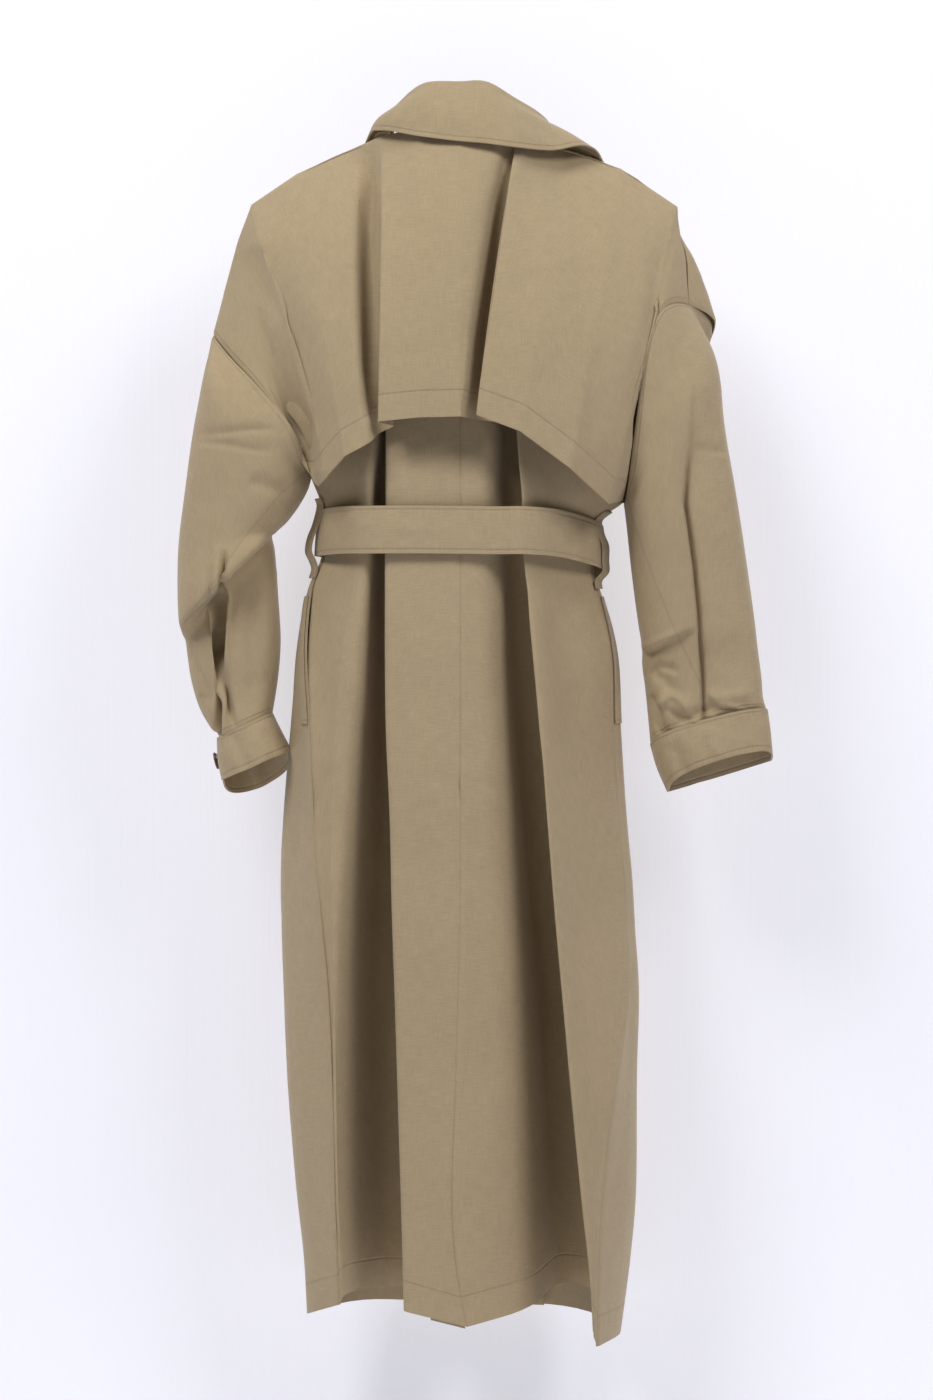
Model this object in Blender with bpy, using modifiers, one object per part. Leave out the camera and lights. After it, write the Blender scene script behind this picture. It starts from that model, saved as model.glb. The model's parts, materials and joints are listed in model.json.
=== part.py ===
"""A long double-breasted trench coat with a back cape, hung by the inside of its neck and open below.

Sizes are in millimetres. X runs to the wearer's right, the back faces -Y and Z is up.
The origin is at the inside of the back neck, where the coat is held.
Each piece of cloth is an open sheet of rows and columns, which Solidify makes a wall.
"""

import math

import bmesh
import bpy
import numpy as np

MM = 0.001
CLOTH = 1.6            # wall of the body, cape and sleeves
FIRM_CLOTH = 2.2       # faced and stiffened pieces: collar, cuffs and belt
SEAM_GAP = 0.3
ARM_GAP = 1.6          # how far each piece draws back from an armhole, where walls turn a corner
SLEEVE_GAP = 4.1       # and each sleeve from it
SHOULDER_GAP = 1.7
LIP = 3.4              # the level strip beside a shoulder seam
NAME = "trench_coat"


# --- Tables and curves -------------------------------------------------------------------


def table(text):
    """A table's rows as dicts: the first line names the columns, and a word stays a word."""
    lines = [line.split() for line in text.strip().splitlines()]
    names, rows = lines[0], lines[1:]
    return [{n: v if v[0].isalpha() else float(v) for n, v in zip(names, row)} for row in rows]


def column(rows, *names):
    """The named columns as an array, a row for each table row."""
    return np.array([[row[name] for name in names] for row in rows])


def smooth(places, values, where):
    """A smooth curve through the values, which keeps to them and does not run past its ends."""
    places, values = np.asarray(places, float), np.asarray(values, float)
    flat = values.reshape(len(places), -1)
    slopes = np.gradient(flat, places, axis=0)
    result = []
    for w in np.atleast_1d(where):
        w = min(max(w, places[0]), places[-1])
        i = min(int(np.searchsorted(places, w, side="right")) - 1, len(places) - 2)
        span = places[i + 1] - places[i]
        t = (w - places[i]) / span
        held = (1 + 2 * t) * (1 - t) ** 2 * flat[i] + t * t * (3 - 2 * t) * flat[i + 1]
        turned = t * (1 - t) ** 2 * slopes[i] + t * t * (t - 1) * slopes[i + 1]
        result.append(held + span * turned)
    return np.array(result).reshape((len(result),) + values.shape[1:])


def rounded(corners, rounds, spans, turn=4):
    """Points along straight spans, each inner corner turned in an arc that starts `round` before it."""
    corners = np.asarray(corners, float)
    starts, ends = [corners[0]], []
    arcs = []
    for i in range(1, len(corners) - 1):
        before, here, after = corners[i - 1], corners[i], corners[i + 1]
        back, on = before - here, after - here
        cut_back = min(0.48, rounds[i] / max(np.linalg.norm(back), 1e-6))
        cut_on = min(0.48, rounds[i] / max(np.linalg.norm(on), 1e-6))
        a, b = here + back * cut_back, here + on * cut_on
        steps = np.linspace(0, 1, turn)[:, None] if rounds[i] > 0 else np.array([[0.5]])
        arcs.append((1 - steps) ** 2 * a + 2 * steps * (1 - steps) * here + steps ** 2 * b)
        ends.append(a)
        starts.append(b)
    ends.append(corners[-1])
    points = [corners[0]]
    for i, (a, b) in enumerate(zip(starts, ends)):
        inner = np.linspace(0, 1, spans[i] + 2)[1:-1, None]
        points.extend(a + (b - a) * inner)
        if i < len(arcs):
            points.extend(arcs[i])
    points.append(corners[-1])
    return np.array(points)


def closed_curve(points, where):
    """A smooth loop through the points; `where` counts from 0 at the first to 1 back at it."""
    n = len(points)
    ring = np.vstack([points[-3:], points, points[:4]])
    return smooth(np.arange(-3, n + 4) / n, ring, np.mod(where, 1.0))


# --- Sheets to solids --------------------------------------------------------------------


def cloth(name, colour, roughness=0.85):
    """A matt woven finish."""
    material = bpy.data.materials.new(name)
    material.use_nodes = True
    shader = material.node_tree.nodes["Principled BSDF"]
    shader.inputs["Base Color"].default_value = (*colour, 1)
    shader.inputs["Roughness"].default_value = roughness
    shader.inputs["Metallic"].default_value = 0
    return material


def pulled_in(grid, top=0.0, bottom=0.0, first=0.0, last=0.0):
    """The same sheet with its four edges drawn back along its own surface."""
    grid = grid.copy()
    edges = ((0, 1, top, 0), (-1, -2, bottom, 0), (0, 1, first, 1), (-1, -2, last, 1))
    for edge, inside, amount, axis in edges:
        if np.any(amount):
            line = grid[edge] if axis == 0 else grid[:, edge]
            next_line = grid[inside] if axis == 0 else grid[:, inside]
            way = next_line - line
            way /= np.maximum(np.linalg.norm(way, axis=1, keepdims=True), 1e-6)
            line += way * np.reshape(amount, (-1, 1))
    return grid


def lipped(grid, way):
    """The sheet with a narrow level lip along its top, on its own side of the shoulder seam."""
    edge, slope = grid[0].copy(), grid[1] - grid[0]
    slope /= np.maximum(np.linalg.norm(slope, axis=1, keepdims=True), 1e-6)
    on_shoulder = np.clip((np.abs(edge[:, :1]) - 80) / 16, 0, 1)
    level = np.array([0, way, -0.06])
    lip = slope * (1 - on_shoulder) + level * on_shoulder
    lip /= np.linalg.norm(lip, axis=1, keepdims=True)
    return np.vstack([[edge + lip * SHOULDER_GAP, edge + lip * LIP], grid[1:]])


def parted(line, inside, beyond, wall=CLOTH):
    """How far a sheet's edge draws back at a seam so that its wall clears the next one's."""
    one, two = line - inside, beyond - line
    lengths = np.linalg.norm(one, axis=1) * np.linalg.norm(two, axis=1)
    turn = np.arccos(np.clip((one * two).sum(axis=1) / np.maximum(lengths, 1e-9), -1, 1))
    return SEAM_GAP + wall * np.tan(np.minimum(turn, 1.6) / 2)


def sheet(name, grid, material, wall=CLOTH, closed=False, turned=False):
    """A named cloth piece: rows run down, columns run left to right seen from outside."""
    rows, columns = grid.shape[:2]
    mesh = bpy.data.meshes.new(name)
    faces = []
    for r in range(rows - 1):
        for c in range(columns if closed else columns - 1):
            d = (c + 1) % columns
            face = (r * columns + c, (r + 1) * columns + c, (r + 1) * columns + d, r * columns + d)
            faces.append(face[::-1] if turned else face)
    mesh.from_pydata((grid.reshape(-1, 3) * MM).tolist(), [], faces)
    mesh.materials.append(material)
    mesh.shade_smooth()
    piece = bpy.data.objects.new(name, mesh)
    coat.objects.link(piece)
    thicken = piece.modifiers.new("Wall", "SOLIDIFY")
    thicken.thickness = wall * MM
    thicken.offset = -1
    return piece


# --- The armholes ------------------------------------------------------------------------

# Each loop runs from its top down the back to the underarm and up the front.
ARMHOLE_LEFT = table("""
    place          x     y     z
    top         -251    45  -206
    back_high   -228    14  -234
    back_mid    -202    -8  -262
    back_low    -168   -24  -303
    back_under  -154   -12  -335
    under       -149    36  -352
    front_under -153    80  -338
    front_low   -172   104  -308
    front_mid   -206   106  -266
    front_high  -238    82  -228
""")
ARMHOLE_RIGHT = table("""
    place          x     y     z
    top          237    22  -178
    back_high    208   -14  -186
    back_mid     191   -26  -226
    back_low     180   -22  -296
    back_under   173    -4  -354
    under       170    34  -378
    front_under  175    76  -362
    front_low    192   104  -316
    front_mid    232   104  -258
    front_high   264    66  -200
""")
UNDERARM = 0.5         # the share of the loop from its top to the underarm


def armhole(rows, where):
    """Points on an armhole's loop, by the share of the way round from its top."""
    return closed_curve(column(rows, "x", "y", "z"), where)


# --- The neck and shoulder edge ----------------------------------------------------------

# From the left armhole up the shoulder, round the back of the neck and down to the right one.
SHOULDER_EDGE = table("""
    place            x    y     z
    arm_left      -251   45  -206
    upper_arm_l   -236   46  -146
    point_left    -219   46   -87
    slope_left    -178   45   -48
    middle_left   -136   43   -27
    neck_left      -90   36    -8
    turn_left      -70   14    -4
    back_left      -38   -2    -1
    back             3   -7     0
    back_right      42   -3    -2
    turn_right      74   14    -6
    neck_right      94   36   -10
    middle_right   147   42   -27
    slope_right    199   43   -51
    point_right    226   38   -75
    upper_arm_r    234   30  -128
    arm_right      237   22  -178
""")
# From the bottom of the left front's neckline up, round the back and down the right front.
NECK_EDGE = table("""
    place            x    y     z
    front_left     -64   97  -116
    low_left       -76   82   -78
    side_left      -86   60   -38
    neck_left      -90   36    -8
    turn_left      -70   14    -4
    back_left      -38   -2    -1
    back             3   -7     0
    back_right      42   -3    -2
    turn_right      74   14    -6
    neck_right      94   36   -10
    side_right      94   62   -40
    low_right       85   86   -82
    front_right     70  104  -120
""")


def shoulder_edge(x):
    """The point of the neck and shoulder edge at this distance across."""
    points = column(SHOULDER_EDGE, "x", "y", "z")
    return smooth(points[:, 0], points, [x])[0]


def neck_edge(where):
    """Points round the neckline, from 0 at its left front end to 1 at its right front end."""
    return smooth(np.linspace(0, 1, len(NECK_EDGE)), column(NECK_EDGE, "x", "y", "z"), where)


# --- The body below the arms -------------------------------------------------------------

# A row is one level section; zl and zr are its heights at the left and right sides. l_ is the
# left half of the back: its side seam, the fold where the panel turns in, the two corners deep in
# the pleat, and the fold where the cloth comes out again.
BACK_LEFT = table("""
 zl    zr    seam_x seam_y fold_x fold_y in_x in_y deep_x deep_y crisp_x crisp_y
 -352  -378  -149  36   -86 -34   -78  14   -58  14   -73 -36
 -386  -402  -136  36   -86 -31   -77  22   -56  22   -73 -33
 -411  -425  -134  36   -87 -29   -77  25   -55  25   -73 -31
 -437  -450  -140  36   -88 -30   -77  28   -54  28   -74 -32
 -470  -480  -150  26   -91 -32   -77  36   -50  36   -74 -34
 -530  -534  -154   4   -95 -32   -75  50   -46  50   -74 -35
 -610  -610  -149 -10  -101 -30   -75  62   -42  64   -73 -35
 -700  -700  -145 -14  -109 -27   -76  72   -38  76   -69 -34
 -790  -790  -138 -18  -115 -24   -78  80   -34  86   -67 -34
 -880  -880  -130 -18  -118 -20   -79  86   -30  92   -64 -33
 -980  -980  -126 -15  -119 -14   -78  90   -26  96   -61 -32
 -1080 -1080 -124 -11  -117  -8   -76  94   -24  100  -58 -31
 -1150 -1150 -121  -8  -114  -5   -73  96   -22  102  -56 -31
 -1192 -1208 -119  -6  -113  -3   -72  96   -22  102  -55 -31
""")
# The right half at the same heights: the centre seam, where the centre panel rolls into the
# pleat, the two deep corners, the fold where the right panel begins, and the side seam.
BACK_RIGHT = table("""
 mid_x mid_y turn_x turn_y in_x in_y deep_x deep_y crisp_x crisp_y seam_x seam_y
  3.5  -39    36 -38    52  10    84  12    62 -40   170  34
  3.5  -36    37 -34    53  18    84  20    63 -37   137.4 36
  3.5  -34    38 -32    53  22    84  24    64 -35   137  36
  3.5  -35    39 -33    54  24    86  28    65 -36   138  36
  3.5  -37    41 -34    56  32    90  36    69 -38   147  36
  3.5  -39    43 -34    60  44    98  46    74 -42   158  36
  3.5  -40    47 -34    66  58   108  60    81 -47   160  40
  3.5  -40    53 -33    74  70   118  72    88 -52   166  40
  3    -40    59 -32    82  80   128  82    95 -56   173  36
  1    -39    64 -31    91  88   138  90   103 -60   175  12
 -2    -38    67 -29    99  94   148  96   112 -63   157 -24
 -5    -37   70 -27   104  98   154  99    122 -65   145 -42
  0    -36   72 -25   107  98   153  98   130 -66   141 -54
 10    -35   74 -24   106  96   143  96   134 -66   140 -58
""")
# The front at the same heights: the outermost point of each side, the corners where the sides
# turn to the front, and how far forward the front lies.
FRONT = table("""
 zl    zr    out_lx out_ly out_rx out_ry front_y corner_lx corner_rx
 -352  -378  -151  70   172  72   116  -104   120
 -386  -402  -138  72   140  72   112   -98   108
 -411  -425  -137  72   140  72   110   -96   102
 -437  -450  -142  72   144  72   112   -98   104
 -470  -480  -158  70   154  72   116  -108   112
 -530  -534  -169  68   166  74   122  -116   120
 -610  -610  -179  64   171  76   128  -122   124
 -700  -700  -189  62   177  78   136  -128   128
 -790  -790  -196  60   186  78   144  -130   134
 -880  -880  -195  58   194  74   150  -128   138
 -980  -980  -190  58   196  64   156  -124   138
 -1080 -1080 -180  56   197  56   160  -118   138
 -1150 -1150 -171  54   190  52   163  -112   134
 -1214 -1226 -167  52   178  50   164  -110   126
""")
# How high each line's end stands over the table's last height, as the hem waves.
HEM_RISE = dict(seam_l=4, fold=16, in_l=6, deep_l=4, crisp_l=6, mid=-6,
                turn=12, near_l=-6, in_r=20, deep_r=14, crisp_r=2, seam_r=-14)
BACK_ROUNDS = dict(fold=(10, 30), in_l=(14, 26), deep_l=(9, 16), crisp_l=(7, 8),
                   turn=(20, 46), in_r=(14, 26), deep_r=(10, 16), crisp_r=(8, 12))
FRONT_ROUNDS = dict(out=(40, 60), corner=(30, 60), face=(30, 60))
OVERLAP = 92           # how far each front runs past the centre
LAYER = 8              # from one front to the other where they lie on each other

UPPER = (0.0, 0.04, 0.1, 0.18, 0.28, 0.39, 0.51, 0.63, 0.75, 0.86, 0.94)
LOWER = 13             # rows from the underarm to the hem
SHOULDER_DROP = 2.4    # how soon the cloth falls away from the shoulder line


def below_arms(xy, heights, rise=0.0):
    """A line of the body from the underarm to the hem, through its place in each level section."""
    places = np.linspace(0, len(xy) - 1, LOWER)
    every = np.arange(len(xy))
    across = smooth(every, xy, places)
    ends = smooth(every, column(heights, "zl", "zr"), places)
    share = np.clip((across[:, 0] + 150) / 320, 0, 1)
    near_hem = np.clip((places / (len(xy) - 1) - 0.75) / 0.25, 0, 1) ** 2
    z = ends[:, 0] + (ends[:, 1] - ends[:, 0]) * share + rise * near_hem
    return np.column_stack([across, z])


def fall(top, end, bow=0.0, shares=UPPER, drop=SHOULDER_DROP):
    """A line from the shoulder or neck down: it goes out early and then hangs; bow bends it in X."""
    top, end = np.asarray(top, float), np.asarray(end, float)
    f = np.asarray(shares, float)
    line = top + (end - top) * f[:, None]
    line[:, 0] += bow * 4 * f * (1 - f)
    line[:, 1] = top[1] + (end[1] - top[1]) * (1 - (1 - f) ** drop)
    return line


def panel(lines, rounds, spans, turn=3):
    """A sheet through its lines, in order across: (name, points down the line)."""
    grid = []
    count = len(lines[0][1])
    for row in range(count):
        share = row / (count - 1)
        corners = [points[row] for _, points in lines]
        sizes = [np.interp(share, (0.2, 1), rounds[name]) if name in rounds else 0 for name, _ in lines]
        grid.append(rounded(corners, sizes, spans, turn))
    return np.array(grid)


ARM_INSIDE = 12.0      # at the armhole's back
INSIDE = 7.6           # the back lies this far inside the cape at the shoulder and armhole
NECK_INSIDE = 4.6      # and so far ahead of it at the neck
BACK_INSIDE = 20       # and this much further half-way down


def back_line(name, rows, key, top_x, bow):
    """A fold line of the back from the neck and shoulder edge to the hem."""
    below = below_arms(column(rows, key + "_x", key + "_y"), BACK_LEFT, HEM_RISE[name])
    at_neck = 1 - min(max((abs(top_x) - 60) / 28, 0), 1)
    start = shoulder_edge(top_x) + (0, NECK_INSIDE * at_neck - 1.4, -INSIDE)
    upper = fall(start, below[0], bow)
    shares = np.asarray(UPPER)
    upper[:, 1] += BACK_INSIDE * 4 * shares * (1 - shares)
    return name, np.vstack([upper, below])


def side_seam(side):
    """The side seam from the underarm to the hem."""
    rows, name = (BACK_LEFT, "seam_l") if side == "left" else (BACK_RIGHT, "seam_r")
    return below_arms(column(rows, "seam_x", "seam_y"), BACK_LEFT, HEM_RISE[name])


def back_side(side):
    """The back's edge: the armhole, kept inside the cape's edge there, and the side seam."""
    rows, way = (ARMHOLE_LEFT, 1.0) if side == "left" else (ARMHOLE_RIGHT, -1.0)
    shares = np.asarray(UPPER)
    upper = armhole(rows, shares * UNDERARM)
    upper[:, 0] += way * INSIDE * np.minimum((1 - shares) * 5, 1)
    upper[:, 1] += ARM_INSIDE * np.minimum((1 - shares) * 3, 1)
    upper[0, 2] -= INSIDE
    return side, np.vstack([upper, side_seam(side)])


def back_grids():
    """The left and right halves of the back, each with a deep pleat from the cape to the hem."""
    middle = back_line("mid", BACK_RIGHT, "mid", 3, 0)
    crisp = back_line("crisp_l", BACK_LEFT, "crisp", -84, 2)
    near = np.array([(a + b) / 2 for a, b in zip(crisp[1], middle[1])])
    near[:len(UPPER)] = back_line("near_l", BACK_RIGHT, "mid", -38, -4)[1][:len(UPPER)]
    blend = (1 - np.asarray(UPPER))[:, None]
    halfway = (crisp[1] + middle[1])[:len(UPPER)] / 2
    near[:len(UPPER)] = near[:len(UPPER)] * blend + halfway * (1 - blend)
    left = [back_side("left"),
            back_line("fold", BACK_LEFT, "fold", -150, 34),
            back_line("in_l", BACK_LEFT, "in", -128, 26),
            back_line("deep_l", BACK_LEFT, "deep", -108, 22),
            crisp,
            ("near_l", near),
            middle]
    right = [middle,
             back_line("turn", BACK_RIGHT, "turn", 52, -6),
             back_line("in_r", BACK_RIGHT, "in", 72, -6),
             back_line("deep_r", BACK_RIGHT, "deep", 96, -4),
             back_line("crisp_r", BACK_RIGHT, "crisp", 120, -26),
             back_side("right")]
    return panel(left, BACK_ROUNDS, (3, 1, 1, 1, 1, 1)), panel(right, BACK_ROUNDS, (2, 1, 1, 1, 3))


# --- The fronts --------------------------------------------------------------------------

# The free edge of each front, from the end of the neckline down to where it hangs upright.
EDGE_LEFT = table("""
    share   x    y     z
    0      -93   38   -11
    0.12   -86   66   -54
    0.3    -66   97  -116
    0.52     0  107  -190
    0.8     84  103.5 -262
    1       92  108  -300
""")
FRONT_TOPS = {
    "left": table("""
        line     top_x  bow
        out      -228   -16
        corner   -180    -6
        face     -125     0
    """),
    "right": table("""
        line     top_x  bow
        out       231    44
        corner    192    18
        face      130     0
    """),
}
EDGE_RIGHT = table("""
    share   x    y     z
    0       97   38   -13
    0.12    93   68   -57
    0.3     71  104  -120
    0.52     4  117  -194
    0.8    -84  119  -262
    1      -92  119  -300
""")


def front_edge(rows, below):
    """The front's free edge, down the neckline, slanting to the overlap and then upright."""
    points = np.vstack([column(rows, "x", "y", "z"), below[0]])
    places = np.append(column(rows, "share")[:, 0] * 0.8, 1.0)
    return np.vstack([smooth(places, points, UPPER), below])


def front_grid(side):
    """One front from its armhole and side seam to its free edge; the right one lies outside."""
    letter, way = side[0], -1 if side == "left" else 1
    rows, edge_rows = (ARMHOLE_LEFT, EDGE_LEFT) if side == "left" else (ARMHOLE_RIGHT, EDGE_RIGHT)
    depth = column(FRONT, "front_y")[:, 0] + way * LAYER / 2
    upper = armhole(rows, 1 - np.asarray(UPPER) * UNDERARM)
    lines = [(side, np.vstack([upper, side_seam(side)]))]
    out = column(FRONT, f"out_{letter}x", f"out_{letter}y")
    corner = np.column_stack([column(FRONT, f"corner_{letter}x"), depth])
    face = np.column_stack([np.full(len(depth), way * 30.0), depth])
    edge = np.column_stack([np.full(len(depth), -way * OVERLAP), depth])
    for row, xy in zip(FRONT_TOPS[side], (out, corner, face)):
        below = below_arms(xy, FRONT)
        start = shoulder_edge(row["top_x"])
        lines.append((row["line"], np.vstack([fall(start, below[0], row["bow"], drop=2.0), below])))
    lines.append(("edge", front_edge(edge_rows, below_arms(edge, FRONT))))
    return panel(lines, FRONT_ROUNDS, (2, 1, 2, 2))


def body(material):
    """The two backs and two fronts, sewn at the centre back and at the sides."""
    backs = dict(zip(("left", "right"), back_grids()))
    fronts = {side: front_grid(side) for side in ("left", "right")}
    left, right = backs["left"], backs["right"]
    centre = parted(left[:, -1], left[:, -2], right[:, 1])
    for side, grid in backs.items():
        outer, inner = (0, 1) if side == "left" else (-1, -2)
        front = fronts[side]
        seam = parted(grid[:, outer], grid[:, inner], front[:, 1])
        seam[:len(UPPER)] = SEAM_GAP / 2
        edges = (seam, centre) if side == "left" else (centre, seam)
        sheet(f"back_{side}", pulled_in(grid, first=edges[0], last=edges[1]), material)
        seam[:len(UPPER)] = ARM_GAP * 2
        front = lipped(pulled_in(front, first=seam), 1)
        fronts[side] = front
        sheet(f"front_{side}", front, material, turned=side == "left")
    return backs, fronts


# --- The back cape -----------------------------------------------------------------------

# The lines down the loose cape from the neck and shoulder edge to its hem, from left to right:
# where each starts across the edge, how far it bows, its end at the hem, and its rounding there.
CAPE = table("""
    line      top_x  bow   hem_x hem_y hem_z  deeper  round
    ridge_l   -240     2   -145   -11  -360    -8       0
    trough_l  -226    -2   -140   -11  -366    -4       6
    rise_l    -212    -4   -132   -38  -360   -10       0
    left      -165     2   -112   -60  -339     0       0
    fold_l     -99   -10    -85   -64  -325     0       9
    in_l       -91    -6    -78   -40  -314     3       7
    deep_l     -84    10    -62   -40  -307     3       6
    crisp_l    -78     1    -80   -66  -305     0       5
    back_l     -38     0    -38   -68  -301     0       0
    middle       3     0      4   -68  -300     0       0
    turn        44     2      4   -66  -300     0      14
    in_r        54    -2     22   -41  -300    12       7
    deep_r      63     6     44   -41  -304    12       6
    crisp_r     60    -2     17   -72  -298     0       5
    right      112     0     62   -74  -315     0       0
    right_out  168     0    112   -66  -351     0       0
    ridge_r    226     2    152   -26  -384   -14       0
""")
CAPE_CORNER = 0.485    # the cape ends just short of the underarm
CAPE_ROWS = UPPER + (1.0,)
CAPE_SPANS = (1, 1, 1, 2, 2, 0, 0, 0, 1, 1, 1, 0, 0, 0, 2, 1, 2, 2)


def cape(material):
    """The storm flap: one wide piece sewn in at the neck, shoulders and armholes, free at its hem."""
    shares = np.asarray(CAPE_ROWS)
    lines = [("arm_left", armhole(ARMHOLE_LEFT, shares * CAPE_CORNER))]
    for row in CAPE:
        end = (row["hem_x"], row["hem_y"], row["hem_z"])
        line = fall(shoulder_edge(row["top_x"]), end, row["bow"], shares)
        line[:, 1] += row["deeper"] * 4 * shares * (1 - shares)
        lines.append((row["line"], line))
    lines.append(("arm_right", armhole(ARMHOLE_RIGHT, shares * CAPE_CORNER)))
    rounds = {row["line"]: (row["round"], row["round"]) for row in CAPE if row["round"]}
    grid = pulled_in(panel(lines, rounds, CAPE_SPANS), first=ARM_GAP, last=ARM_GAP)
    sheet("cape_back", lipped(grid, -1), material)


# --- The sleeves and cuffs ---------------------------------------------------------------

# A row is one ring: its inner end, its outer end, the depth of its middle, how far it stands
# out at the back and front, and how far the back half is shifted in depth and height by a tuck.
SLEEVE_LEFT = table("""
    in_x in_z   out_x out_z  mid back front  tuck_y tuck_z
    -154 -366   -259  -256   38   62   66     0      0
    -162 -382   -268  -296   40   62   64     0      0
    -174 -404   -277  -346   42   60   60     0      0
    -188 -421   -286  -402   44   58   56     0      0
    -189 -438   -283  -486   46   54   52   -10    -14
    -188 -444   -282  -499   50   44   50    10     10
    -184 -478   -279  -530   52   42   50     0      0
    -182 -520   -273  -562   54   42   50     0      0
    -185 -558   -263  -592   56   40   50     0      0
    -191 -593   -246  -619   58   42   50     0      0
""")
SLEEVE_RIGHT = table("""
    in_x in_z   out_x out_z  mid back front  tuck_y tuck_z
    172  -388   268   -236   36   60   66     0      0
    174  -404   276  -298   38   58   62     0      0
    177  -432   286  -362   40   56   58     0      0
    181  -466   292   -416   42   52   54     0      0
    186  -502   300   -466   44   48   50     0      0
    190  -530   306   -510   46   46   48    -5     -5
    190  -540   308   -524   48   38   46     5      4
    193  -566   312   -556   50   38   44     0      0
    196  -594   314   -578   52   38   42     0      0
    199  -625   318   -594   54   36   40     0      0
""")
# The cuffs go on from the last ring of each sleeve. Their near half rises and their far half drops.
CUFF_LEFT = table("""
    in_x in_z   out_x out_z  mid back front  tuck_z  far_drop
    -191 -593   -246  -619   58   44   52     0       3
    -181 -613   -245  -641   58   48   56     0      13
    -171 -632   -241  -662   58   50   58     0      24
""")
CUFF_RIGHT = table("""
    in_x in_z   out_x out_z  mid back front  tuck_z  far_drop
    199  -625   318   -594   54   38   42    12       0
    206  -649   321   -618   54   40   44    15       1
    217  -674   323   -642   54   40   46    18       3
""")
BEFORE_GROOVE = (0, 0.08, 0.26, 0.5, 0.74, 0.9)    # shares of the way across to the deep fold
AFTER_GROOVE = (0.12, 0.3, 0.6, 0.88)              # and from there to the outer end
GROOVES = {                 # the deep fold down each sleeve: place across, depth, and first ring
    "left": (0.62, 34, 4),
    "right": (0.52, 14, 2),
}


def around(place):
    """The angles at which a ring is read: close together where the deep fold is."""
    across = [place * share for share in BEFORE_GROOVE] + [place]
    across += [place + (1 - place) * share for share in AFTER_GROOVE]
    back = np.arccos(1 - 2 * np.array(across))
    return np.append(back, np.linspace(math.pi, 2 * math.pi, len(back) + 1)[:-1])


def ring(row, angle):
    """One section of a sleeve from its inner end, round the back to the outer end and the front."""
    across = (1 - np.cos(angle)) / 2
    depth = np.sign(np.sin(angle)) * np.abs(np.sin(angle)) ** 0.8
    is_back = depth > 0
    points = np.empty((len(angle), 3))
    points[:, 0] = row["in_x"] + (row["out_x"] - row["in_x"]) * across
    points[:, 2] = row["in_z"] + (row["out_z"] - row["in_z"]) * across
    points[:, 1] = row["mid"] - depth * np.where(is_back, row["back"], row["front"])
    held = np.where(is_back, depth, 0)
    points[:, 1] += held * row.get("tuck_y", 0)
    points[:, 2] += held * row.get("tuck_z", 0)
    points[:, 2] += np.where(is_back, 0, depth) * row.get("far_drop", 0)
    return points


def sleeves(material):
    """One wide sleeve each side, from the armhole to the cuff, with a tuck and a deep fold."""
    for side, rows, loop in (("left", SLEEVE_LEFT, ARMHOLE_LEFT), ("right", SLEEVE_RIGHT, ARMHOLE_RIGHT)):
        place, depth, first = GROOVES[side]
        angle = around(place)
        shares = np.asarray(CAPE_ROWS) * UNDERARM
        start = armhole(loop, np.concatenate([shares[:0:-1], 1 - shares[:-1]]) % 1)
        end = (CUFF_LEFT if side == "left" else CUFF_RIGHT)[0]
        rings = [start] + [ring(row, angle) for row in rows[:-1] + [end]]
        grid = np.array(rings)
        across = (1 - np.cos(angle)) / 2
        shape = np.exp(-((across - place) / 0.06) ** 2) * (angle < math.pi)
        grown = np.clip((np.arange(len(rings)) - first) / 2, 0, 1)
        grown[-1] = 0
        grid[:, :, 1] += depth * grown[:, None] * shape
        grid = pulled_in(grid, top=SLEEVE_GAP, bottom=SEAM_GAP)
        sheet(f"sleeve_{side}", grid, material, closed=True, turned=side == "left")


def cuffs(material):
    """A wide turned band at the end of each sleeve."""
    for side, rows in (("left", CUFF_LEFT), ("right", CUFF_RIGHT)):
        angle = around(GROOVES[side][0])
        grid = pulled_in(np.array([ring(row, angle) for row in rows]), top=SEAM_GAP * 2)
        sheet(f"cuff_{side}", grid, material, FIRM_CLOTH, closed=True, turned=side == "left")


# --- The collar --------------------------------------------------------------------------

# Along the collar from its left end round the neck to its right end: the fold line, the lower
# edge of the fall, and the foot of the stand on the neckline.
COLLAR = table("""
    place     fold_x fold_y fold_z  edge_x edge_y edge_z  foot_x foot_y foot_z
    end_l       -60   106  -106      -104   104  -158      -62    99  -114
    low_l       -68    88   -62      -118    90  -112      -74    82   -76
    front_l     -72    63   -24      -114    66   -62      -81    60   -36
    side_l      -71    36    13       -96    38    -3      -85    37    -5
    turn_l      -57    13    27       -78     8    -3      -70    15    -3
    back_l      -33    -1    43       -40   -17   -13      -38    -1     0
    back          3    -5    44       -4   -22   -18.5      3    -6     0.5
    back_r       30    -3    44       31   -23   -22       42    -2    -1
    turn_r       58     8    30        61   -19   -25       74    15    -5
    side_r       82    27    19        96     2   -24       92    37    -8
    front_r      93    46     9       130    24   -15       92    58   -34
    tip_r        94    62   -12       148    45   -24       90    72   -58
    low_r        88    80   -50       156    70   -62       86    86   -84
    end_r        72   110  -112       116   110  -168       71.5 103  -118
""")
COLLAR_ACROSS = 36
ROLL = 4.6              # how wide the fall turns over the top of the stand
# The turn over the fold: how far out and how far up from the fold line.
ROLL_DEEP = 1.2
ROLL_SHAPE = ((-1, -ROLL_DEEP), (-1, -0.9), (-0.7, -0.28), (0, 0), (0.7, -0.28), (1, -0.9))
FALL_ROWS = (0.25, 0.5, 0.75, 1.0)
FALL_BOW = 5.0


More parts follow.
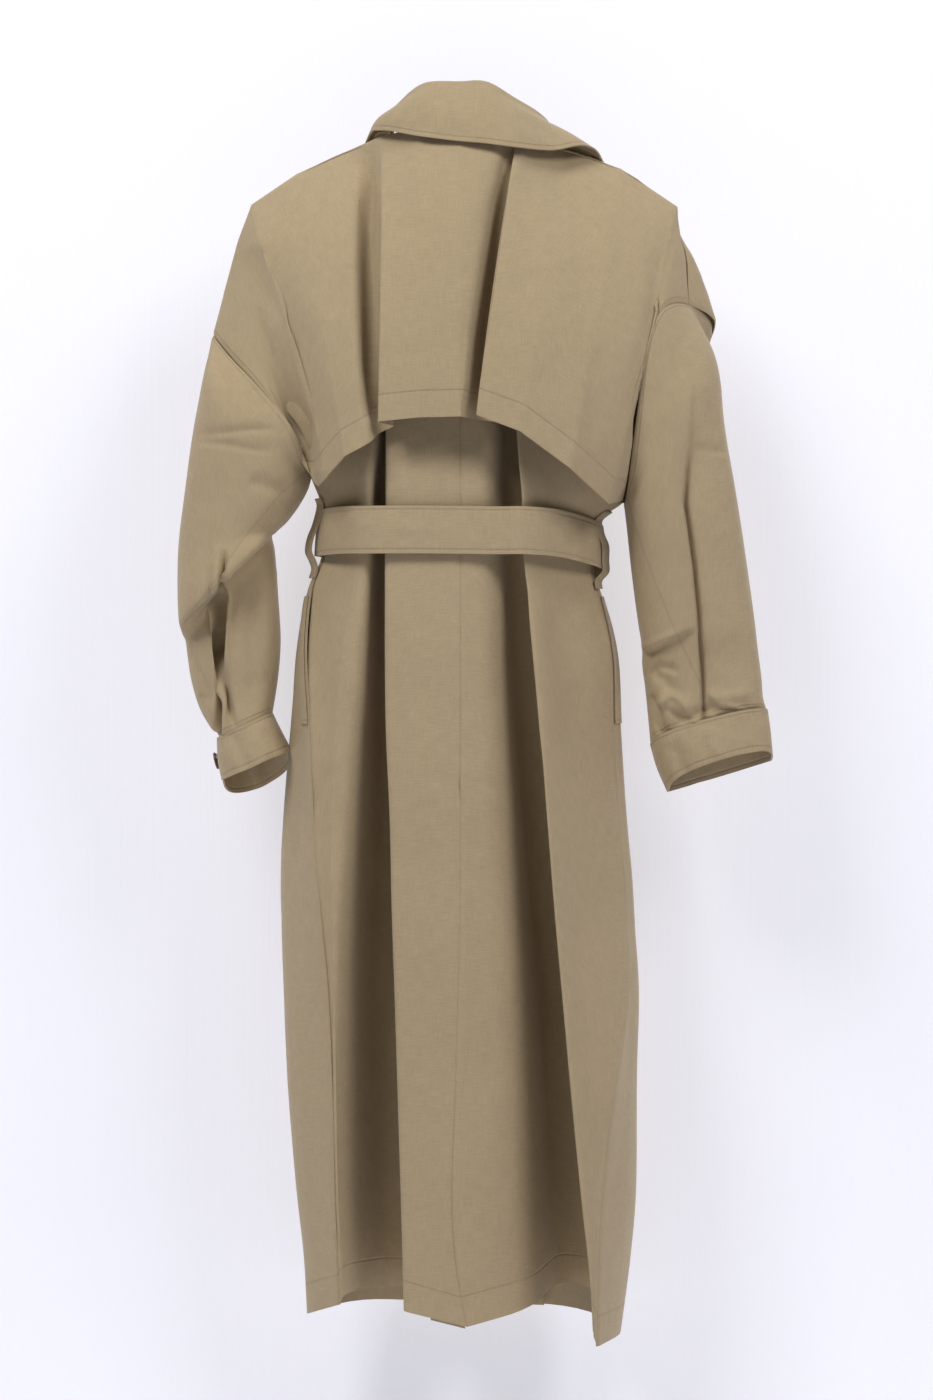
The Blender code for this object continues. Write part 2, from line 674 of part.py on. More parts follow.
def upright(line, out):
    """The direction square to a line and to its outward direction, on the upper side."""
    along = np.gradient(line, axis=0)
    up = np.cross(out, along)
    up /= np.linalg.norm(up, axis=1, keepdims=True)
    return up * np.where(up[:, 2:] < 0, -1, 1)


def plan_outward(line):
    """The level direction out of the neck at each point of a line round it."""
    along = np.gradient(line, axis=0)
    out = np.column_stack([along[:, 1], -along[:, 0], np.zeros(len(line))])
    return out / np.linalg.norm(out, axis=1, keepdims=True)


def collar(material):
    """The stand round the neckline and the fall that turns over it and lies on the shoulders."""
    places = np.linspace(0, len(COLLAR) - 1, COLLAR_ACROSS)
    every = np.arange(len(COLLAR))
    fold, edge, foot = [
        smooth(every, column(COLLAR, part + "_x", part + "_y", part + "_z"), places)
        for part in ("fold", "edge", "foot")]
    out = plan_outward(fold)
    up = upright(fold, out)
    rows = [fold + out * ROLL * o + up * ROLL * u for o, u in ROLL_SHAPE]
    start = rows[-1]
    for share in FALL_ROWS:
        bow = FALL_BOW * 4 * share * (1 - share)
        rows.append(start + (edge - start) * share + (out + up) * bow * 0.7)
    sheet("collar_fall", np.array(rows), material, FIRM_CLOTH)
    top = fold + out * CLOTH / 2 - up * (FIRM_CLOTH + 1.2)
    knee = fold + out * CLOTH / 2 - up * ROLL * ROLL_DEEP
    foot[:, 2] += 0.8
    stand = [top, knee, foot]
    sheet("collar_stand", np.array(stand), material)


# --- Pieces that lie on a panel ----------------------------------------------------------


def outward(grid):
    """The direction out of a sheet at each of its points."""
    down, across = np.gradient(grid, axis=(0, 1))
    out = np.cross(down, across)
    return out / np.maximum(np.linalg.norm(out, axis=2, keepdims=True), 1e-9)


def along_row(row, out, distances, lift):
    """Points at these distances along a row from its first point, moved out by `lift`."""
    steps = np.linalg.norm(np.diff(row, axis=0), axis=1)
    places = np.concatenate([[0], np.cumsum(steps)])
    point = [np.interp(distances, places, row[:, i]) for i in range(3)]
    way = [np.interp(distances, places, out[:, i]) for i in range(3)]
    return np.column_stack(point) + np.column_stack(way) * lift


def laid_on(grid, rows, widths, lift, columns=5, start=0.0, flip=False):
    """A strip that starts on a panel's first column and lies on it, `widths` wide at each row."""
    out = outward(grid) * (-1 if flip else 1)
    strip = []
    for row, width in zip(rows, widths):
        low = int(min(row, len(grid) - 2))
        share = row - low
        line = grid[low] * (1 - share) + grid[low + 1] * share
        way = out[low] * (1 - share) + out[low + 1] * share
        distances = start + np.linspace(0, 1, columns) * width
        strip.append(along_row(line, way, distances, lift))
    return np.array(strip)


LAPEL = table("""
    height   width
    -122      62
    -150      62
    -178      56
    -206      46
    -234      32
    -262      16
    -284       5
""")
LAPEL_LIFT = 4.9         # how far out a lapel's face is from the front it lies on
LAID = CLOTH + 0.6       # and any other piece's


def row_at(grid, column_at, height):
    """The row, with its fraction, at which a column of a sheet passes this height."""
    z = grid[:, column_at, 2]
    return float(np.interp(-height, -z, np.arange(len(z))))


def lapels(fronts, material):
    """The top of each front, turned back outwards along the neckline."""
    for side, grid in fronts.items():
        turned = side == "left"
        used = [row for row in LAPEL if row["height"] > -200 or not turned]
        rows = [row_at(grid, -1, row["height"]) for row in used]
        widths = [row["width"] for row in used]
        strip = laid_on(grid[:, ::-1], rows, widths, LAPEL_LIFT, start=1.0, flip=not turned)
        sheet(f"lapel_{side}", strip, material, turned=not turned)


POCKET_HEIGHTS = (-474, -500, -526, -552, -578, -604)
POCKET_WIDTH = 22


def pockets(fronts, material):
    """A narrow welt on each front along the side seam, at the pocket's opening."""
    for side, grid in fronts.items():
        rows = [row_at(grid, 0, height) for height in POCKET_HEIGHTS]
        widths = [POCKET_WIDTH] * len(rows)
        strip = laid_on(grid, rows, widths, LAID + 1.4, columns=4, start=1.2, flip=side == "left")
        sheet(f"pocket_welt_{side}", strip, material, turned=side == "left")


VENT_ROWS = (19, 20, 21, 22, 23)
VENT_WIDTH = 36


def vent(backs, material):
    """The facing of the centre vent, behind the left half's edge near the hem."""
    grid = backs["left"][:, ::-1]
    widths = [VENT_WIDTH] * len(VENT_ROWS)
    strip = laid_on(grid, VENT_ROWS, widths, -(CLOTH + 0.5), columns=3, start=1.5, flip=True)
    strip[-1, :, 2] -= 2.5
    sheet("vent_facing", strip, material, turned=True)


# --- The belt ----------------------------------------------------------------------------

# Round the waist from the end that lies inside at the front, by the left side and the back to
# the end that lies outside; `lean` is how much further out the lower edge lies.
BELT = table("""
    place      x     y     z    lean
    inner_end   34   122  -422    0
    front_l    -34   122  -419    0
    front_e    -88   120  -416    0
    corner_l  -116   104  -412    1
    out_l     -141    76  -408    2
    side_l    -142    38  -409    2.4
    turn_l    -118   -10  -409    1
    fold_l     -90   -37  -410    0
    back_l     -40   -41  -410    0
    back         3   -42  -410.5  0
    back_r      40   -43  -411    0
    crisp_r     70   -43  -411    0
    turn_r     106   -16  -413    1
    side_r     147.2  36  -422    2
    out_r      148    74  -430    2
    corner_r   110   116  -430    1
    front_r     40   126  -426    0
    outer_end  -62   126  -423    0
""")
BELT_ACROSS = 52
BELT_HALF = 23.8


def belt(material):
    """One long strip round the waist whose outer end lies over its inner end."""
    every = np.arange(len(BELT))
    places = np.linspace(0, len(BELT) - 1, BELT_ACROSS)
    line = smooth(every, column(BELT, "x", "y", "z"), places)
    lean = smooth(every, column(BELT, "lean"), places)
    out = plan_outward(line)
    up = np.array([0, 0, 1.0])
    rows = [line + up * BELT_HALF * h - out * lean * h for h in (1, 0, -1)]
    sheet("belt", np.array(rows), material, FIRM_CLOTH)


BELT_LOOPS = table("""
    side    stand   z
    left     0.6  -374
    left     1.5  -382
    left     9.5  -400
    left    14.5  -414
    left    13.5  -428
    left     6.5  -438
    left     1.5  -446
    left     0.6  -455
    right    0.6  -388
    right    3.0  -397
    right   11.0  -410
    right   13.5  -422
    right   13.5  -437
    right   12.5  -449
    right    3.0  -458
    right    0.6  -466
""")
LOOP_WALL = 2.0
LOOP_NEAR, LOOP_FAR = 30.0, 44.0      # the depths of its two edges


def belt_loops(material):
    """A narrow loop over the belt at each side seam, standing off it a little."""
    for side, way in (("left", -1), ("right", 1)):
        seam = side_seam(side)[::-1]
        rows = [row for row in BELT_LOOPS if row["side"] == side]
        z = np.array([row["z"] for row in rows])
        x = np.interp(z, seam[:, 2], seam[:, 0])
        x += way * (column(rows, "stand")[:, 0] + LOOP_WALL + 1.6)
        near = np.column_stack([x, np.full(len(z), LOOP_NEAR), z])
        middle = near + (0, (LOOP_FAR - LOOP_NEAR) / 2, 0)
        far = near + (0, LOOP_FAR - LOOP_NEAR, 0)
        strip = np.stack([near, middle, far], axis=1)
        sheet(f"belt_loop_{side}", strip, material, LOOP_WALL, turned=side == "left")


BUCKLE_AT = (-20.0, 128.9, -423.6)
BUCKLE_OUT = (27.0, 33.0)             # half its width and height
BUCKLE_BAR = 3.2                      # how far its frame is from outside to inside
BUCKLE_THICK = 3.4


def buckle(material):
    """A plain oblong frame with rounded corners that lies on the belt's two layers."""
    turns = np.linspace(0, 2 * math.pi, 24, endpoint=False) + math.pi / 24
    shape = np.column_stack([np.cos(turns), np.sin(turns)])
    shape = np.sign(shape) * np.abs(shape) ** 0.4
    rings = []
    sections = ((0, 0), (0.35, 0.5), (0.65, 0.5), (1, 0), (1, -0.5), (0, -0.5))
    for across, depth in sections:
        half = np.array(BUCKLE_OUT) - across * BUCKLE_BAR * 2
        flat = shape * half
        y = np.full(len(flat), BUCKLE_AT[1] + depth * BUCKLE_THICK)
        rings.append(np.column_stack([flat[:, 0] + BUCKLE_AT[0], y, flat[:, 1] + BUCKLE_AT[2]]))
    solid("belt_buckle", np.array(rings), material, capped=False)


def solid(name, rings, material, capped=True):
    """A closed piece through its rings; either the two ends are capped or the last joins the first."""
    count, size = rings.shape[:2]
    steps = count - 1 if capped else count
    faces = []
    for r in range(steps):
        s = (r + 1) % count
        for c in range(size):
            d = (c + 1) % size
            faces.append((r * size + c, s * size + c, s * size + d, r * size + d))
    if capped:
        faces.append(tuple(range(size)))
        faces.append(tuple(range(count * size - 1, (count - 1) * size - 1, -1)))
    mesh = bpy.data.meshes.new(name)
    mesh.from_pydata((rings.reshape(-1, 3) * MM).tolist(), [], faces)
    mesh.materials.append(material)
    edit = bmesh.new()
    edit.from_mesh(mesh)
    bmesh.ops.recalc_face_normals(edit, faces=edit.faces)
    edit.to_mesh(mesh)
    edit.free()
    piece = bpy.data.objects.new(name, mesh)
    coat.objects.link(piece)
    return piece


# --- The buttons -------------------------------------------------------------------------

FRONT_BUTTON, CUFF_BUTTON = 12.5, 9.0       # radii
BUTTON_SHAPE = ((0.94, 0), (1.0, 0.35), (0.9, 1.0), (0.68, 0.75))
BUTTON_THICK = 3.6
BUTTON_LIFT = 0.5
BUTTON_SIDES = 12
BUTTON_COLUMNS = (-52.0, 40.0)
BUTTON_ROWS = (-318.0, -372.0, -500.0, -600.0)


def button(name, centre, way, radius, material):
    """A round button with a raised rim that faces along `way`."""
    way = np.asarray(way, float) / np.linalg.norm(way)
    side = np.cross(way, (0, 0, 1.0))
    side /= np.linalg.norm(side)
    up = np.cross(side, way)
    turns = np.linspace(0, 2 * math.pi, BUTTON_SIDES, endpoint=False)
    rings = []
    for reach, depth in BUTTON_SHAPE:
        flat = np.outer(np.cos(turns), side) + np.outer(np.sin(turns), up)
        rings.append(np.asarray(centre) + flat * radius * reach + way * depth * BUTTON_THICK)
    solid(name, np.array(rings), material)


def buttons(fronts, material):
    """Two rows on the overlapping front and one button on each cuff."""
    grid = fronts["right"]
    number = 1
    for z in BUTTON_ROWS:
        for x in BUTTON_COLUMNS:
            nearest = int(np.abs(grid[len(UPPER) + 3, :, 0] - x).argmin())
            line = grid[::-1, nearest]
            above, below = np.interp((z + FRONT_BUTTON, z - FRONT_BUTTON), line[:, 2], line[:, 1])
            here = np.interp(z, line[:, 2], line[:, 1])
            y = max((above + below) / 2, here) + BUTTON_LIFT
            way = (0, 2 * FRONT_BUTTON, below - above)
            button(f"front_button_{number}", (x, y, z), way, FRONT_BUTTON, material)
            number += 1
    button("cuff_button_left", (-245.7, 58, -642), (-1, 0, -0.25), CUFF_BUTTON, material)
    button("cuff_button_right", (262, 98.8, -638), (0, 1, 0.05), CUFF_BUTTON, material)


coat = bpy.data.collections.new(NAME)


def build():
    """Clears the scene and makes every piece of the coat."""
    for piece in list(bpy.data.objects):
        bpy.data.objects.remove(piece)
    bpy.context.scene.collection.children.link(coat)
    khaki = cloth("khaki_cotton", (0.40, 0.31, 0.20))
    horn = cloth("brown_horn", (0.09, 0.045, 0.025), 0.35)
    backs, fronts = body(khaki)
    cape(khaki)
    sleeves(khaki)
    cuffs(khaki)
    collar(khaki)
    lapels(fronts, khaki)
    pockets(fronts, khaki)
    vent(backs, khaki)
    belt(khaki)
    belt_loops(khaki)
    buckle(horn)
    buttons(fronts, horn)


build()
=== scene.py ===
"""A trench coat in khaki cotton, with a cape across its back, hung before a pale studio wall.

Lengths are in millimetres until a piece is made. X runs to the wearer's right, the back of the
coat faces -Y and Z is up, from the inside of the back of the neck.
"""

import json
import math

import bmesh
import bpy
import mathutils
import numpy as np
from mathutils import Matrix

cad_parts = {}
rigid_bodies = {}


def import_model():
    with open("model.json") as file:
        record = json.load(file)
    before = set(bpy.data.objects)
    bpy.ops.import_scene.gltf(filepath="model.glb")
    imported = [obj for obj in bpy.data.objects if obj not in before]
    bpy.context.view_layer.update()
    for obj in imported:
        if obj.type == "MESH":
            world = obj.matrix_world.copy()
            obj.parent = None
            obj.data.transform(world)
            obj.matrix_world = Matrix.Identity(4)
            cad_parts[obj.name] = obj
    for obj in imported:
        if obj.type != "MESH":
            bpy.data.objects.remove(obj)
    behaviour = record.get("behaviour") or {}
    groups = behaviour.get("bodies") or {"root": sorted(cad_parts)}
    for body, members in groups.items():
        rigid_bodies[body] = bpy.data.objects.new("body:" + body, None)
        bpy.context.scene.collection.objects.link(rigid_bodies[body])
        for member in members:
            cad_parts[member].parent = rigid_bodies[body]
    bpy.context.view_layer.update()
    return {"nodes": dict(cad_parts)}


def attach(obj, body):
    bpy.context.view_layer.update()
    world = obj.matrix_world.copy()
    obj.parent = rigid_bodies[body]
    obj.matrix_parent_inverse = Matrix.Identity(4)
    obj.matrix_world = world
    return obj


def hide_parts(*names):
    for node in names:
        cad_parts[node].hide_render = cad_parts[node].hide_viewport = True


for leftover in list(bpy.data.objects):
    bpy.data.objects.remove(leftover)
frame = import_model()
MM = 0.001


# --- The back -----------------------------------------------------------------------------
# Two lengths of khaki cotton gabardine sewn together down the middle, each hung in one deep
# pleat from the cape to the hem. A loose facing lies behind the slit at the foot of the seam.


def table(text):
    """A table's rows as dicts: the first line names the columns, and a word stays a word."""
    lines = [line.split() for line in text.strip().splitlines()]
    names, rows = lines[0], lines[1:]
    return [{n: v if v[0].isalpha() else float(v) for n, v in zip(names, row)} for row in rows]


def column(rows, *names):
    """The named columns as an array, a row for each table row."""
    return np.array([[row[name] for name in names] for row in rows])


def smooth(places, values, where):
    """A smooth curve through the values, which keeps to them and does not run past its ends."""
    places, values = np.asarray(places, float), np.asarray(values, float)
    flat = values.reshape(len(places), -1)
    slopes = np.gradient(flat, places, axis=0)
    w = np.clip(np.atleast_1d(np.asarray(where, float)), places[0], places[-1])
    i = np.clip(np.searchsorted(places, w, side="right") - 1, 0, len(places) - 2)
    span = places[i + 1] - places[i]
    t = ((w - places[i]) / span)[:, None]
    held = (1 + 2 * t) * (1 - t) ** 2 * flat[i] + t * t * (3 - 2 * t) * flat[i + 1]
    turned = t * (1 - t) ** 2 * slopes[i] + t * t * (t - 1) * slopes[i + 1]
    return (held + span[:, None] * turned).reshape((len(w),) + values.shape[1:])


ARMHOLE_LEFT = table("""
 place          x   y    z
 top         -251  45 -206
 back_high   -228  14 -234
 back_mid    -202  -8 -262
 back_low    -168 -24 -303
 back_under  -154 -12 -335
 under       -149  36 -352
 front_under -153  80 -338
 front_low   -172 104 -308
 front_mid   -206 106 -266
 front_high  -238  82 -228
""")
ARMHOLE_RIGHT = table("""
 place         x   y    z
 top         237  22 -178
 back_high   208 -14 -186
 back_mid    191 -26 -226
 back_low    180 -22 -296
 back_under  173  -4 -354
 under       170  34 -378
 front_under 175  76 -362
 front_low   192 104 -316
 front_mid   232 104 -258
 front_high  264  66 -200
""")
UNDERARM = 0.5
# From the left armhole up the shoulder, round the back of the neck and down to the right one.
SHOULDER_EDGE = table("""
 place           x  y    z
 arm_left     -251 45 -206
 upper_arm_l  -236 46 -146
 point_left   -219 46  -87
 slope_left   -178 45  -48
 middle_left  -136 43  -27
 neck_left     -90 36   -8
 turn_left     -70 14   -4
 back_left     -38 -2   -1
 back            3 -7    0
 back_right     42 -3   -2
 turn_right     74 14   -6
 neck_right     94 36  -10
 middle_right  147 42  -27
 slope_right   199 43  -51
 point_right   226 38  -75
 upper_arm_r   234 30 -128
 arm_right     237 22 -178
""")
# A row is one level section. l_ is the left half: its side seam, the fold where the panel turns
# in, the two corners deep in the pleat, and the fold where the cloth comes out again.
BACK_LEFT = table("""
    zl    zr seam_x seam_y fold_x fold_y in_x in_y deep_x deep_y crisp_x crisp_y
  -352  -378   -149     36    -86    -34  -78   14    -58     14     -73     -36
  -386  -402   -136     36    -86    -31  -77   22    -56     22     -73     -33
  -411  -425   -134     36    -87    -29  -77   25    -55     25     -73     -31
  -437  -450   -140     36    -88    -30  -77   28    -54     28     -74     -32
  -470  -480   -150     26    -91    -32  -77   36    -50     36     -74     -34
  -530  -534   -154      4    -95    -32  -75   50    -46     50     -74     -35
  -610  -610   -149    -10   -101    -30  -75   62    -42     64     -73     -35
  -700  -700   -145    -14   -109    -27  -76   72    -38     76     -69     -34
  -790  -790   -138    -18   -115    -24  -78   80    -34     86     -67     -34
  -880  -880   -130    -18   -118    -20  -79   86    -30     92     -64     -33
  -980  -980   -126    -15   -119    -14  -78   90    -26     96     -61     -32
 -1080 -1080   -124    -11   -117     -8  -76   94    -24    100     -58     -31
 -1150 -1150   -121     -8   -114     -5  -73   96    -22    102     -56     -31
 -1192 -1208   -119     -6   -113     -3  -72   96    -22    102     -55     -31
""")
BACK_RIGHT = table("""
 mid_x mid_y turn_x turn_y in_x in_y deep_x deep_y crisp_x crisp_y seam_x seam_y
   3.5   -39     36    -38   52   10     84     12      62     -40    170     34
   3.5   -36     37    -34   53   18     84     20      63     -37  137.4     36
   3.5   -34     38    -32   53   22     84     24      64     -35    137     36
   3.5   -35     39    -31   54   24     86     28      65     -36    138     36
   3.5   -37     41    -30   56   32     90     36      69     -38    147     36
   3.5   -39     43    -29   60   44     98     46      74     -42    158     36
   3.5   -40     47    -29   66   58    108     60      81     -47    160     40
   3.5   -40     53    -28   74   70    118     72      88     -52    166     40
     3   -40     59    -27   82   80    128     82      95     -56    173     36
     1   -39     64    -26   91   88    138     90     103     -60    175     12
    -2   -38     67    -24   99   94    148     96     112     -63    157    -24
    -5   -37     70    -22  104   98    154     99     122     -65    145    -42
     0   -36     72    -20  107   98    153     98     130     -66    141    -54
    10   -35     74    -19  106   96    143     96     134     -66    140    -58
""")
HEM_RISE = dict(seam_l=4, fold=16, in_l=6, deep_l=4, crisp_l=6, mid=-6,
                turn=12, near_l=-6, in_r=20, deep_r=14, crisp_r=2, seam_r=-14)
BACK_ROUNDS = dict(fold=(10, 30), in_l=(14, 26), deep_l=(9, 16), crisp_l=(7, 8),
                   turn=(20, 46), in_r=(14, 26), deep_r=(10, 16), crisp_r=(8, 12))
KNOTS = (0.0, 0.04, 0.1, 0.18, 0.28, 0.39, 0.51, 0.63, 0.75, 0.86, 0.94, 1.0)
ROWS_UP, ROWS_DOWN = 54, 148
# How far the back keeps inside the cape's edge and under it, and how far it is hollowed there.
INSIDE_CAPE, UNDER_CAPE, HOLLOW_BACK = 7.6, 12, 20
# At the neck the back starts in from the edge, past its ease out from it.
NECK_HALF, NECK_EASE, NECK_IN, SHOULDER_OUT = 60, 28, 4.6, 1.4
# The middle of the back, and how far off it is seen from.
EYE_X, EYE_Z, BACK_Y, EYE_AWAY = 9.5, -580, -30, 3000
UP_PLACES = np.linspace(0, 11, ROWS_UP + 1)[:-1]
UPPER = smooth(np.arange(12), KNOTS, UP_PLACES)
ROW_SHARE = np.append(UP_PLACES, np.linspace(11, 23, ROWS_DOWN)) / 23
# The body is this wide from its left side, and its hem is shaped below this share of its drop.
LEFT_SIDE, BODY_WIDTH, HEM_START = -150, 320, 0.75
SPACING = 6.0
MOST_TURN, ARC_POINTS = 0.48, 6


def closed_curve(points, where):
    """A smooth loop through the points; `where` counts from 0 at the first to 1 back at it."""
    n = len(points)
    ring = np.vstack([points[-3:], points, points[:4]])
    return smooth(np.arange(-3, n + 4) / n, ring, np.mod(where, 1.0))


def armhole(rows, where):
    """Points on an armhole's loop, by the share of the way round from its top."""
    return closed_curve(column(rows, "x", "y", "z"), where)


def shoulder_edge(x):
    """The point of the neck and shoulder edge at this distance across."""
    points = column(SHOULDER_EDGE, "x", "y", "z")
    return smooth(points[:, 0], points, [x])[0]


def rounded(corners, rounds, spans):
    """Points along straight spans, their inner corners turned in arcs of these sizes."""
    starts, ends, arcs = [corners[0]], [], []
    for i in range(1, len(corners) - 1):
        before, here, after = corners[i - 1], corners[i], corners[i + 1]
        back, on = before - here, after - here
        a = here + back * min(MOST_TURN, rounds[i] / max(np.linalg.norm(back), 1e-6))
        b = here + on * min(MOST_TURN, rounds[i] / max(np.linalg.norm(on), 1e-6))
        steps = np.linspace(0, 1, ARC_POINTS)[:, None] if rounds[i] > 0 else np.array([[0.5]])
        arcs.append((1 - steps) ** 2 * a + 2 * steps * (1 - steps) * here + steps ** 2 * b)
        ends.append(a)
        starts.append(b)
    ends.append(corners[-1])
    points = [corners[:1]]
    for i, (a, b) in enumerate(zip(starts, ends)):
        points.append(a + (b - a) * np.linspace(0, 1, spans[i] + 2)[1:-1, None])
        if i < len(arcs):
            points.append(arcs[i])
    points.append(corners[-1:])
    return np.vstack(points)


def panel(lines, rounds, row_share, spacing=SPACING):
    """A sheet through its lines, in order across: (name, points down the line)."""
    every = np.stack([points for _, points in lines], axis=1)
    lengths = np.linalg.norm(np.diff(every, axis=1), axis=2).max(axis=0)
    spans = [max(1, int(round(length / spacing)) - 1) for length in lengths]
    grid = []
    for share, corners in zip(row_share, every):
        sizes = [np.interp(share, (0.2, 1), rounds[n]) if n in rounds else 0 for n, _ in lines]
        grid.append(rounded(corners, sizes, spans))
    return np.array(grid)


def fall(top, end, bow=0.0, shares=UPPER, drop=2.4):
    """A line down from the shoulder or neck: out early, then hanging; `bow` bends it in X."""
    top, end = np.asarray(top, float), np.asarray(end, float)
    f = np.asarray(shares, float)
    line = top + (end - top) * f[:, None]
    line[:, 0] += bow * 4 * f * (1 - f)
    line[:, 1] = top[1] + (end[1] - top[1]) * (1 - (1 - f) ** drop)
    return line


def below_arms(xy, heights, rise=0.0):
    """A line of the body from the underarm to the hem, through its place in each level section."""
    places = np.linspace(0, len(xy) - 1, ROWS_DOWN)
    every = np.arange(len(xy))
    across = smooth(every, xy, places)
    ends = smooth(every, column(heights, "zl", "zr"), places)
    share = np.clip((across[:, 0] - LEFT_SIDE) / BODY_WIDTH, 0, 1)
    dropped = places / (len(xy) - 1)
    near_hem = np.clip((dropped - HEM_START) / (1 - HEM_START), 0, 1) ** 2
    z = ends[:, 0] + (ends[:, 1] - ends[:, 0]) * share + rise * near_hem
    return np.column_stack([across, z])


def back_line(name, rows, key, top_x, bow):
    """A fold line of the back from the neck and shoulder edge to the hem, inside the cape."""
    below = below_arms(column(rows, key + "_x", key + "_y"), BACK_LEFT, HEM_RISE[name])
    at_neck = 1 - min(max((abs(top_x) - NECK_HALF) / NECK_EASE, 0), 1)
    inward = NECK_IN * at_neck - SHOULDER_OUT
    start = shoulder_edge(top_x) + (0, inward, -INSIDE_CAPE)
    upper = fall(start, below[0], bow)
    upper[:, 1] += HOLLOW_BACK * 4 * UPPER * (1 - UPPER)
    return name, np.vstack([upper, below])


def side_seam(side):
    """The side seam from the underarm to the hem."""
    rows, name = (BACK_LEFT, "seam_l") if side == "left" else (BACK_RIGHT, "seam_r")
    return below_arms(column(rows, "seam_x", "seam_y"), BACK_LEFT, HEM_RISE[name])


def back_side(side):
    """The back's edge: the armhole, kept inside the cape's edge there, and the side seam."""
    rows, way = (ARMHOLE_LEFT, 1.0) if side == "left" else (ARMHOLE_RIGHT, -1.0)
    upper = armhole(rows, UPPER * UNDERARM)
    upper[:, 0] += way * INSIDE_CAPE * np.minimum((1 - UPPER) * 5, 1)
    upper[:, 1] += UNDER_CAPE * np.minimum((1 - UPPER) * 3, 1)
    upper[0, 2] -= INSIDE_CAPE
    return side, np.vstack([upper, side_seam(side)])


def back_grids():
    """The left and right halves of the back, each with a deep pleat from the cape to the hem."""
    top = len(UPPER)
    middle = back_line("mid", BACK_RIGHT, "mid", 3, 0)
    crisp = back_line("crisp_l", BACK_LEFT, "crisp", -84, 2)
    near = (crisp[1] + middle[1]) / 2
    blend = (1 - UPPER)[:, None]
    above = back_line("near_l", BACK_RIGHT, "mid", -38, -4)[1][:top]
    near[:top] = above * blend + near[:top] * (1 - blend)
    left = [back_side("left"),
            back_line("fold", BACK_LEFT, "fold", -150, 34),
            back_line("in_l", BACK_LEFT, "in", -128, 26),
            back_line("deep_l", BACK_LEFT, "deep", -108, 22),
            crisp, ("near_l", near), middle]
    right = [middle,
             back_line("turn", BACK_RIGHT, "turn", 52, -6),
             back_line("in_r", BACK_RIGHT, "in", 72, -6),
             back_line("deep_r", BACK_RIGHT, "deep", 96, -4),
             back_line("crisp_r", BACK_RIGHT, "crisp", 120, -26),
             back_side("right")]
    return panel(left, BACK_ROUNDS, ROW_SHARE), panel(right, BACK_ROUNDS, ROW_SHARE)


def through(rows, count):
    """Evenly spaced rows on a smooth sheet through these ones."""
    rows = np.asarray(rows)
    steps = np.linalg.norm(np.diff(rows, axis=0), axis=2).mean(axis=1)
    places = np.concatenate([[0], np.cumsum(steps)])
    return smooth(places, rows, np.linspace(0, places[-1], count)), places / places[-1]


def eased(grid, passes, rows):
    """The same sheet with these rows let flow into each other."""
    grid = grid.copy()
    low, high = rows
    for _ in range(passes):
        grid[low:high] = (grid[low - 1:high - 1] + 2 * grid[low:high] + grid[low + 1:high + 1]) / 4
    return grid


def outward(grid, closed=False, turned=False):
    """The direction out of a sheet at each of its points."""
    wide = np.concatenate([grid[:, -1:], grid, grid[:, :1]], axis=1) if closed else grid
    down, across = np.gradient(wide, axis=(0, 1))
    out = np.cross(down, across) * (-1 if turned else 1)
    out /= np.maximum(np.linalg.norm(out, axis=2, keepdims=True), 1e-9)
    return out[:, 1:-1] if closed else out


def seen_from(side, grid):
    """Where each point lies to someone facing that side: millimetres across and down."""
    if side == "back":
        near = 1 + (grid[..., 1] - BACK_Y) / EYE_AWAY
        x = EYE_X + (grid[..., 0] - EYE_X) / near
        return np.stack([x, -EYE_Z - (grid[..., 2] - EYE_Z) / near], -1)
    along = 0 if side == "front" else 1
    return np.stack([grid[..., along], -grid[..., 2]], -1)


FACING = dict(back=(0, -1, 0), front=(0, 1, 0), left=(-1, 0, 0), right=(1, 0, 0))
# A mark fades over a fifth of its length at each end, and where the cloth turns from its side.
SOFT_ENDS, END_POWER, TURNED_FROM, TURNED_OVER = 5, 0.7, 0.1, 0.45


def marks(text):
    """A table of creases: each runs along its points, across,down as `seen_from` gives them.

    "fold" is a ridge or a trough, "step" a rise or a drop that dies away after the line. `after`
    is the width on the right of a mark that runs down, and `before` the width on its left.
    """
    made = []
    for line in text.strip().splitlines()[1:]:
        side, kind, height, before, after, *spots = line.split()
        points = np.array([[float(v) for v in spot.split(",")] for spot in spots])
        made.append((side, kind, float(height), float(before), float(after), points))
    return made


def beside(flat, points):
    """How far each spot is to the side of a line of points, with its sign, and its share along."""
    steps = np.diff(points, axis=0)
    lengths = np.linalg.norm(steps, axis=1)
    starts = np.concatenate([[0], np.cumsum(lengths)])
    best = np.full(flat.shape[:-1], 1e9)
    away, along = np.zeros(best.shape), np.zeros(best.shape)
    for start, step, length, from_start in zip(points, steps, lengths, starts):
        way = step / length
        rel = flat - start
        s = rel[..., 0] * way[1] - rel[..., 1] * way[0]
        held = np.clip(rel @ way, 0, length)
        d = np.hypot(rel @ way - held, s)
        closer = d < best
        best = np.where(closer, d, best)
        away = np.where(closer, np.sign(s) * d, away)
        along = np.where(closer, from_start + held, along)
    return away, along / starts[-1]


